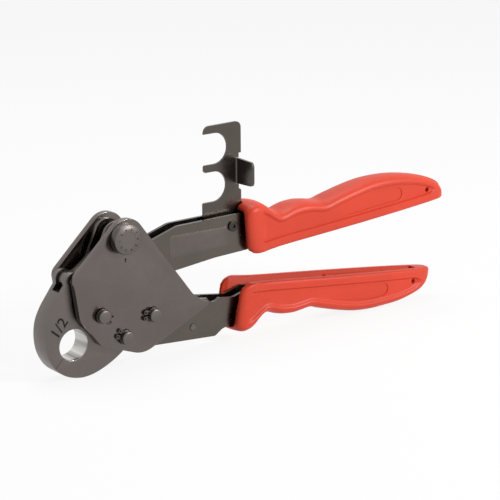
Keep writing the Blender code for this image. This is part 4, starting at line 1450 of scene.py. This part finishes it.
    def field(self, side: int) -> bpy.types.Object:
        """The cutter of the plain label field in a side panel.

        Args:
            side: -1 for the front or 1 for the rear.

        Returns:
            A closed mesh in the grip's own frame.
        """
        bm = bmesh.new()
        rings = []
        reach = self.field_reach
        length = self.field_end - self.field_start
        for d in self.spread(length, reach, reach, steps=10):
            along = self.field_start + d
            height, half = self.station(along)
            low = self.bead + self.field_margin[0]
            high = height - self.field_margin[1]
            openness = roundness(min(1.0, d / reach, (length - d) / reach))
            centre = (low + high) / 2.0
            tall = max(self.least_opening, (high - low) / 2.0 * openness)
            foot, head = centre - tall, centre + tall
            floor = half - self.panel - self.field_depth
            corners = ((floor, foot), (half, foot), (half, head), (floor, head))
            rings.append([bm.verts.new(Vector((along, side * y, v)) * MM) for y, v in corners])
        skin(bm, rings)
        return new_object(self.name + "_field", bm)

    def trough(self) -> bpy.types.Object:
        """The cutter of the space inside the grip.

        Returns:
            A closed mesh in the grip's own frame.
        """
        bm = bmesh.new()
        rings = []
        collar = self.stations[3]
        inner = [station for station in self.stations if collar[0] <= station[0] < self.space_end]
        inner.append((self.space_end, *self.station(self.space_end)))
        for along, height, half in [(self.mouth, *collar[1:])] + smooth(inner, steps=3):
            wide = half - self.wall - self.panel
            roof = height - self.crown
            side = [(wide + flare, v) for flare, v in self.mouth_edge]
            side += [(wide - inset, roof - drop) for inset, drop in self.roof_edge]
            ring = [(-y, v) for y, v in side] + side[::-1]
            rings.append([bm.verts.new(Vector((along, y, v)) * MM) for y, v in ring])
        skin(bm, rings)
        return new_object(self.name + "_trough", bm)

    def hanging_hole(self) -> bpy.types.Object:
        """The hanging hole's cutter.

        Returns:
            A closed mesh in the grip's own frame.
        """
        bm = bmesh.new()
        middle = Matrix.Translation(Vector((self.hole[0], 0.0, self.hole[1])) * MM)
        radius = self.hole_radius * MM
        bmesh.ops.create_cone(
            bm, cap_ends=True, segments=32, radius1=radius, radius2=radius,
            depth=self.hole_depth * MM, matrix=middle @ UPRIGHT,
        )
        return new_object(self.name + "_hole", bm)

    def inner_ribs(self) -> list[bpy.types.Object]:
        """The ribs across the trough.

        Returns:
            Closed meshes in the grip's own frame.
        """
        ribs = []
        for along in self.ribs:
            reach = self.station(along + self.rib)[1] - self.panel - self.wall / 2.0
            low = (along, -reach, self.rib_height[0])
            high = (along + self.rib, reach, self.rib_height[1])
            ribs.append(block("rib", low, high))
        return ribs

    def channel_cutters(self) -> list[bpy.types.Object]:
        """The cutters of the room for the sheet channel in the collar and the trough.

        Returns:
            Closed meshes in the grip's own frame.
        """
        start = self.channel_start
        neck = self.tang + self.neck_play
        (neck_start, neck_end), (neck_low, neck_high) = self.neck
        return [
            block("tang", (start, -self.tang, self.tang_low), (self.tang_end, self.tang, self.tang_high)),
            block("neck", (neck_start, -neck, neck_low), (neck_end, neck, neck_high)),
            block(
                "notch",
                (start, self.notch_width[0], self.notch_height[0]),
                (self.notch_end, self.notch_width[1], self.notch_height[1]),
            ),
        ]

    def build(self, shop: Workshop) -> None:
        """Make the grip.

        Args:
            shop: what dresses it.
        """
        grip = self.loft()
        carve(grip, [self.recess(-1), self.recess(1)])
        carve(grip, [self.field(-1), self.field(1)])
        carve(grip, [self.trough()])
        carve(grip, self.inner_ribs(), Carving.JOIN)
        carve(grip, [*self.channel_cutters(), self.hanging_hole()])
        grip.data.transform(self.place())
        shop.fit(grip, self.body, GRIP_RED, [self.node], self.sharp_angle)


def upper_grip() -> Grip:
    """The upper grip, crown up."""
    return Grip(
        name="upper_grip_moulding",
        node="upper_grip",
        body=Body.UPPER_HANDLE,
        start=(116.0, 31.1),
        tilt=3.5,
        flipped=False,
        rake=1.0,
        toe=4.2,
        setback=1.8,
        brow=1.2,
        neck=((-20.0, 7.5), (-3.0, 26.0)),
        notch_end=7.0,
        nose=(
            (133.0, 20.0, 8.0), (143.0, 16.9, 7.3), (150.0, 14.0, 6.6), (154.5, 11.4, 5.8),
            (157.0, 9.2, 4.8), (158.2, 7.4, 3.9), (158.6, 5.8, 3.2),
        ),
    )


def lower_grip() -> Grip:
    """The lower grip, crown down."""
    return Grip(
        name="lower_grip_moulding",
        node="lower_grip",
        body=Body.FRAME,
        start=(107.0, 15.9),
        tilt=-6.9,
        flipped=True,
        rake=1.5,
        toe=5.7,
        setback=4.8,
        brow=0.0,
        neck=((-20.0, 16.0), (-3.0, 27.1)),
        notch_end=2.5,
        nose=(
            (133.0, 20.9, 8.0), (143.0, 18.3, 7.3), (150.0, 15.8, 6.6), (154.5, 13.2, 5.8),
            (157.0, 10.6, 4.8), (158.2, 8.3, 3.9), (158.6, 6.4, 3.2),
        ),
    )


# Studio


@dataclass(frozen=True)
class Lamp:
    """A soft square lamp that looks at the tool."""

    name: str
    spot: Place
    size: float
    watts: float
    target: Place = (0.0, 0.0, 0.05)

    def hang(self) -> None:
        """Make the lamp."""
        light = bpy.data.lights.new(self.name, "AREA")
        light.energy = self.watts
        light.size = self.size
        obj = bpy.data.objects.new(self.name, light)
        obj.location = self.spot
        obj.rotation_mode = "QUATERNION"
        look = Vector(self.target) - Vector(self.spot)
        obj.rotation_quaternion = look.to_track_quat("-Z", "Y")
        bpy.context.scene.collection.objects.link(obj)


@dataclass
class Studio:
    """The floor, the lamps and the camera of the photograph."""

    azimuth: float = -37.0
    elevation: float = 15.4
    distance: float = 1106.0
    focal: float = 2000.0
    picture: float = 500.0
    sensor: float = 36.0
    shift: Flat = (101.0, 51.0)
    lean: float = 0.45
    lamps: tuple[Lamp, ...] = (
        Lamp("key", (0.62, -1.05, 0.68), 0.35, 14.2),
        Lamp("top", (0.05, 0.25, 1.1), 0.7, 6.5),
    )
    floor_half: float = 4.0
    floor_level: float = -0.0005
    floor_colour: Colour = (0.9, 0.9, 0.9, 1.0)
    floor_roughness: float = 0.9
    floor_specular: float = 0.1
    floor_white: float = 0.88
    fill: float = 0.24

    def camera(self) -> None:
        """A camera fitted to the photograph."""
        a = math.radians(self.azimuth)
        e = math.radians(self.elevation)
        back = Vector((math.sin(a) * math.cos(e), -math.cos(a) * math.cos(e), math.sin(e)))
        right = Vector((math.cos(a), math.sin(a), 0.0))
        up = back.cross(right)
        turn = Matrix((right, up, back)).transposed().to_4x4()
        spot = right * self.shift[0] + up * self.shift[1] + back * self.distance
        lens = bpy.data.cameras.new("camera")
        lens.sensor_width = self.sensor
        lens.lens = self.focal / self.picture * self.sensor
        lens.clip_start = 0.05
        lens.clip_end = 20.0
        camera = bpy.data.objects.new("camera", lens)
        bpy.context.scene.collection.objects.link(camera)
        lean = Matrix.Rotation(math.radians(self.lean), 4, "Y")
        camera.matrix_world = TOOL_PLACE @ lean @ Matrix.Translation(spot * MM) @ turn
        bpy.context.scene.camera = camera

    def seen(self, tree: bpy.types.NodeTree, share: float) -> bpy.types.NodeSocket:
        """The share of white that shows in the picture and in reflections, and lights nothing else.

        Args:
            tree: the node tree that it is for.
            share: how much white shows, from 0 to 1.

        Returns:
            A socket with the share for rays that see, and 0 for all other light.
        """
        path = tree.nodes.new("ShaderNodeLightPath")
        chosen = path.outputs["Is Camera Ray"]
        for ray in ("Is Glossy Ray", "Is Transmission Ray"):
            either = tree.nodes.new("ShaderNodeMath")
            either.operation = "MAXIMUM"
            tree.links.new(chosen, either.inputs[0])
            tree.links.new(path.outputs[ray], either.inputs[1])
            chosen = either.outputs[0]
        part = tree.nodes.new("ShaderNodeMath")
        part.operation = "MULTIPLY"
        part.inputs[1].default_value = share
        tree.links.new(chosen, part.inputs[0])
        return part.outputs[0]

    def whiten(
        self, tree: bpy.types.NodeTree, plain: bpy.types.Node, white: bpy.types.Node, share: float
    ) -> bpy.types.NodeSocket:
        """A shader that shows its share of plain white and is itself for all other light.

        Args:
            tree: the node tree of both shaders.
            plain: the shader that takes light and shadow.
            white: the shader that gives white.
            share: how much of the white shows.

        Returns:
            The mixed shader's socket.
        """
        white.inputs["Color"].default_value = WHITE
        white.inputs["Strength"].default_value = 1.0
        mix = tree.nodes.new("ShaderNodeMixShader")
        tree.links.new(self.seen(tree, share), mix.inputs["Fac"])
        tree.links.new(plain.outputs[0], mix.inputs[1])
        tree.links.new(white.outputs[0], mix.inputs[2])
        return mix.outputs[0]

    def floor(self) -> None:
        """A plain pale floor that keeps the tool's shadow."""
        bm = bmesh.new()
        bmesh.ops.create_grid(bm, x_segments=1, y_segments=1, size=self.floor_half)
        floor = new_object("floor", bm)
        floor.location = (0.0, 0.0, self.floor_level)
        material = bpy.data.materials.new("pale_floor")
        material.use_nodes = True
        tree = material.node_tree
        diffuse = tree.nodes["Principled BSDF"]
        diffuse.inputs["Base Color"].default_value = self.floor_colour
        diffuse.inputs["Roughness"].default_value = self.floor_roughness
        diffuse.inputs["Specular IOR Level"].default_value = self.floor_specular
        shown = self.whiten(tree, diffuse, tree.nodes.new("ShaderNodeEmission"), self.floor_white)
        tree.links.new(shown, tree.nodes["Material Output"].inputs["Surface"])
        floor.data.materials.append(material)

    def sky(self) -> None:
        """White to the camera and in reflections, and a plain fill for everything else."""
        backdrop = bpy.data.worlds.new("backdrop")
        bpy.context.scene.world = backdrop
        backdrop.use_nodes = True
        tree = backdrop.node_tree
        ambient = tree.nodes["Background"]
        ambient.inputs["Color"].default_value = WHITE
        ambient.inputs["Strength"].default_value = self.fill
        shown = self.whiten(tree, ambient, tree.nodes.new("ShaderNodeBackground"), 1.0)
        tree.links.new(shown, tree.nodes["World Output"].inputs["Surface"])

    def build(self) -> None:
        """Set up the studio."""
        bpy.context.scene.view_settings.view_transform = "Standard"
        self.sky()
        self.floor()
        for lamp in self.lamps:
            lamp.hang()
        self.camera()


def main() -> None:
    """Load the frame, dress it and set up the studio."""
    logging.basicConfig(level=logging.INFO, format="%(message)s")
    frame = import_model()
    shop = Workshop(frame["nodes"], Palette())
    assemblies = (
        SidePlates(),
        RingDie(),
        PushLink(),
        AdjusterDial(),
        PlatePins(),
        Handles(),
        Gauge(),
        upper_grip(),
        lower_grip(),
    )
    for assembly in assemblies:
        assembly.build(shop)
        LOG.info("%s finished", type(assembly).__name__)
    Studio().build()


if __name__ == "__main__":
    main()
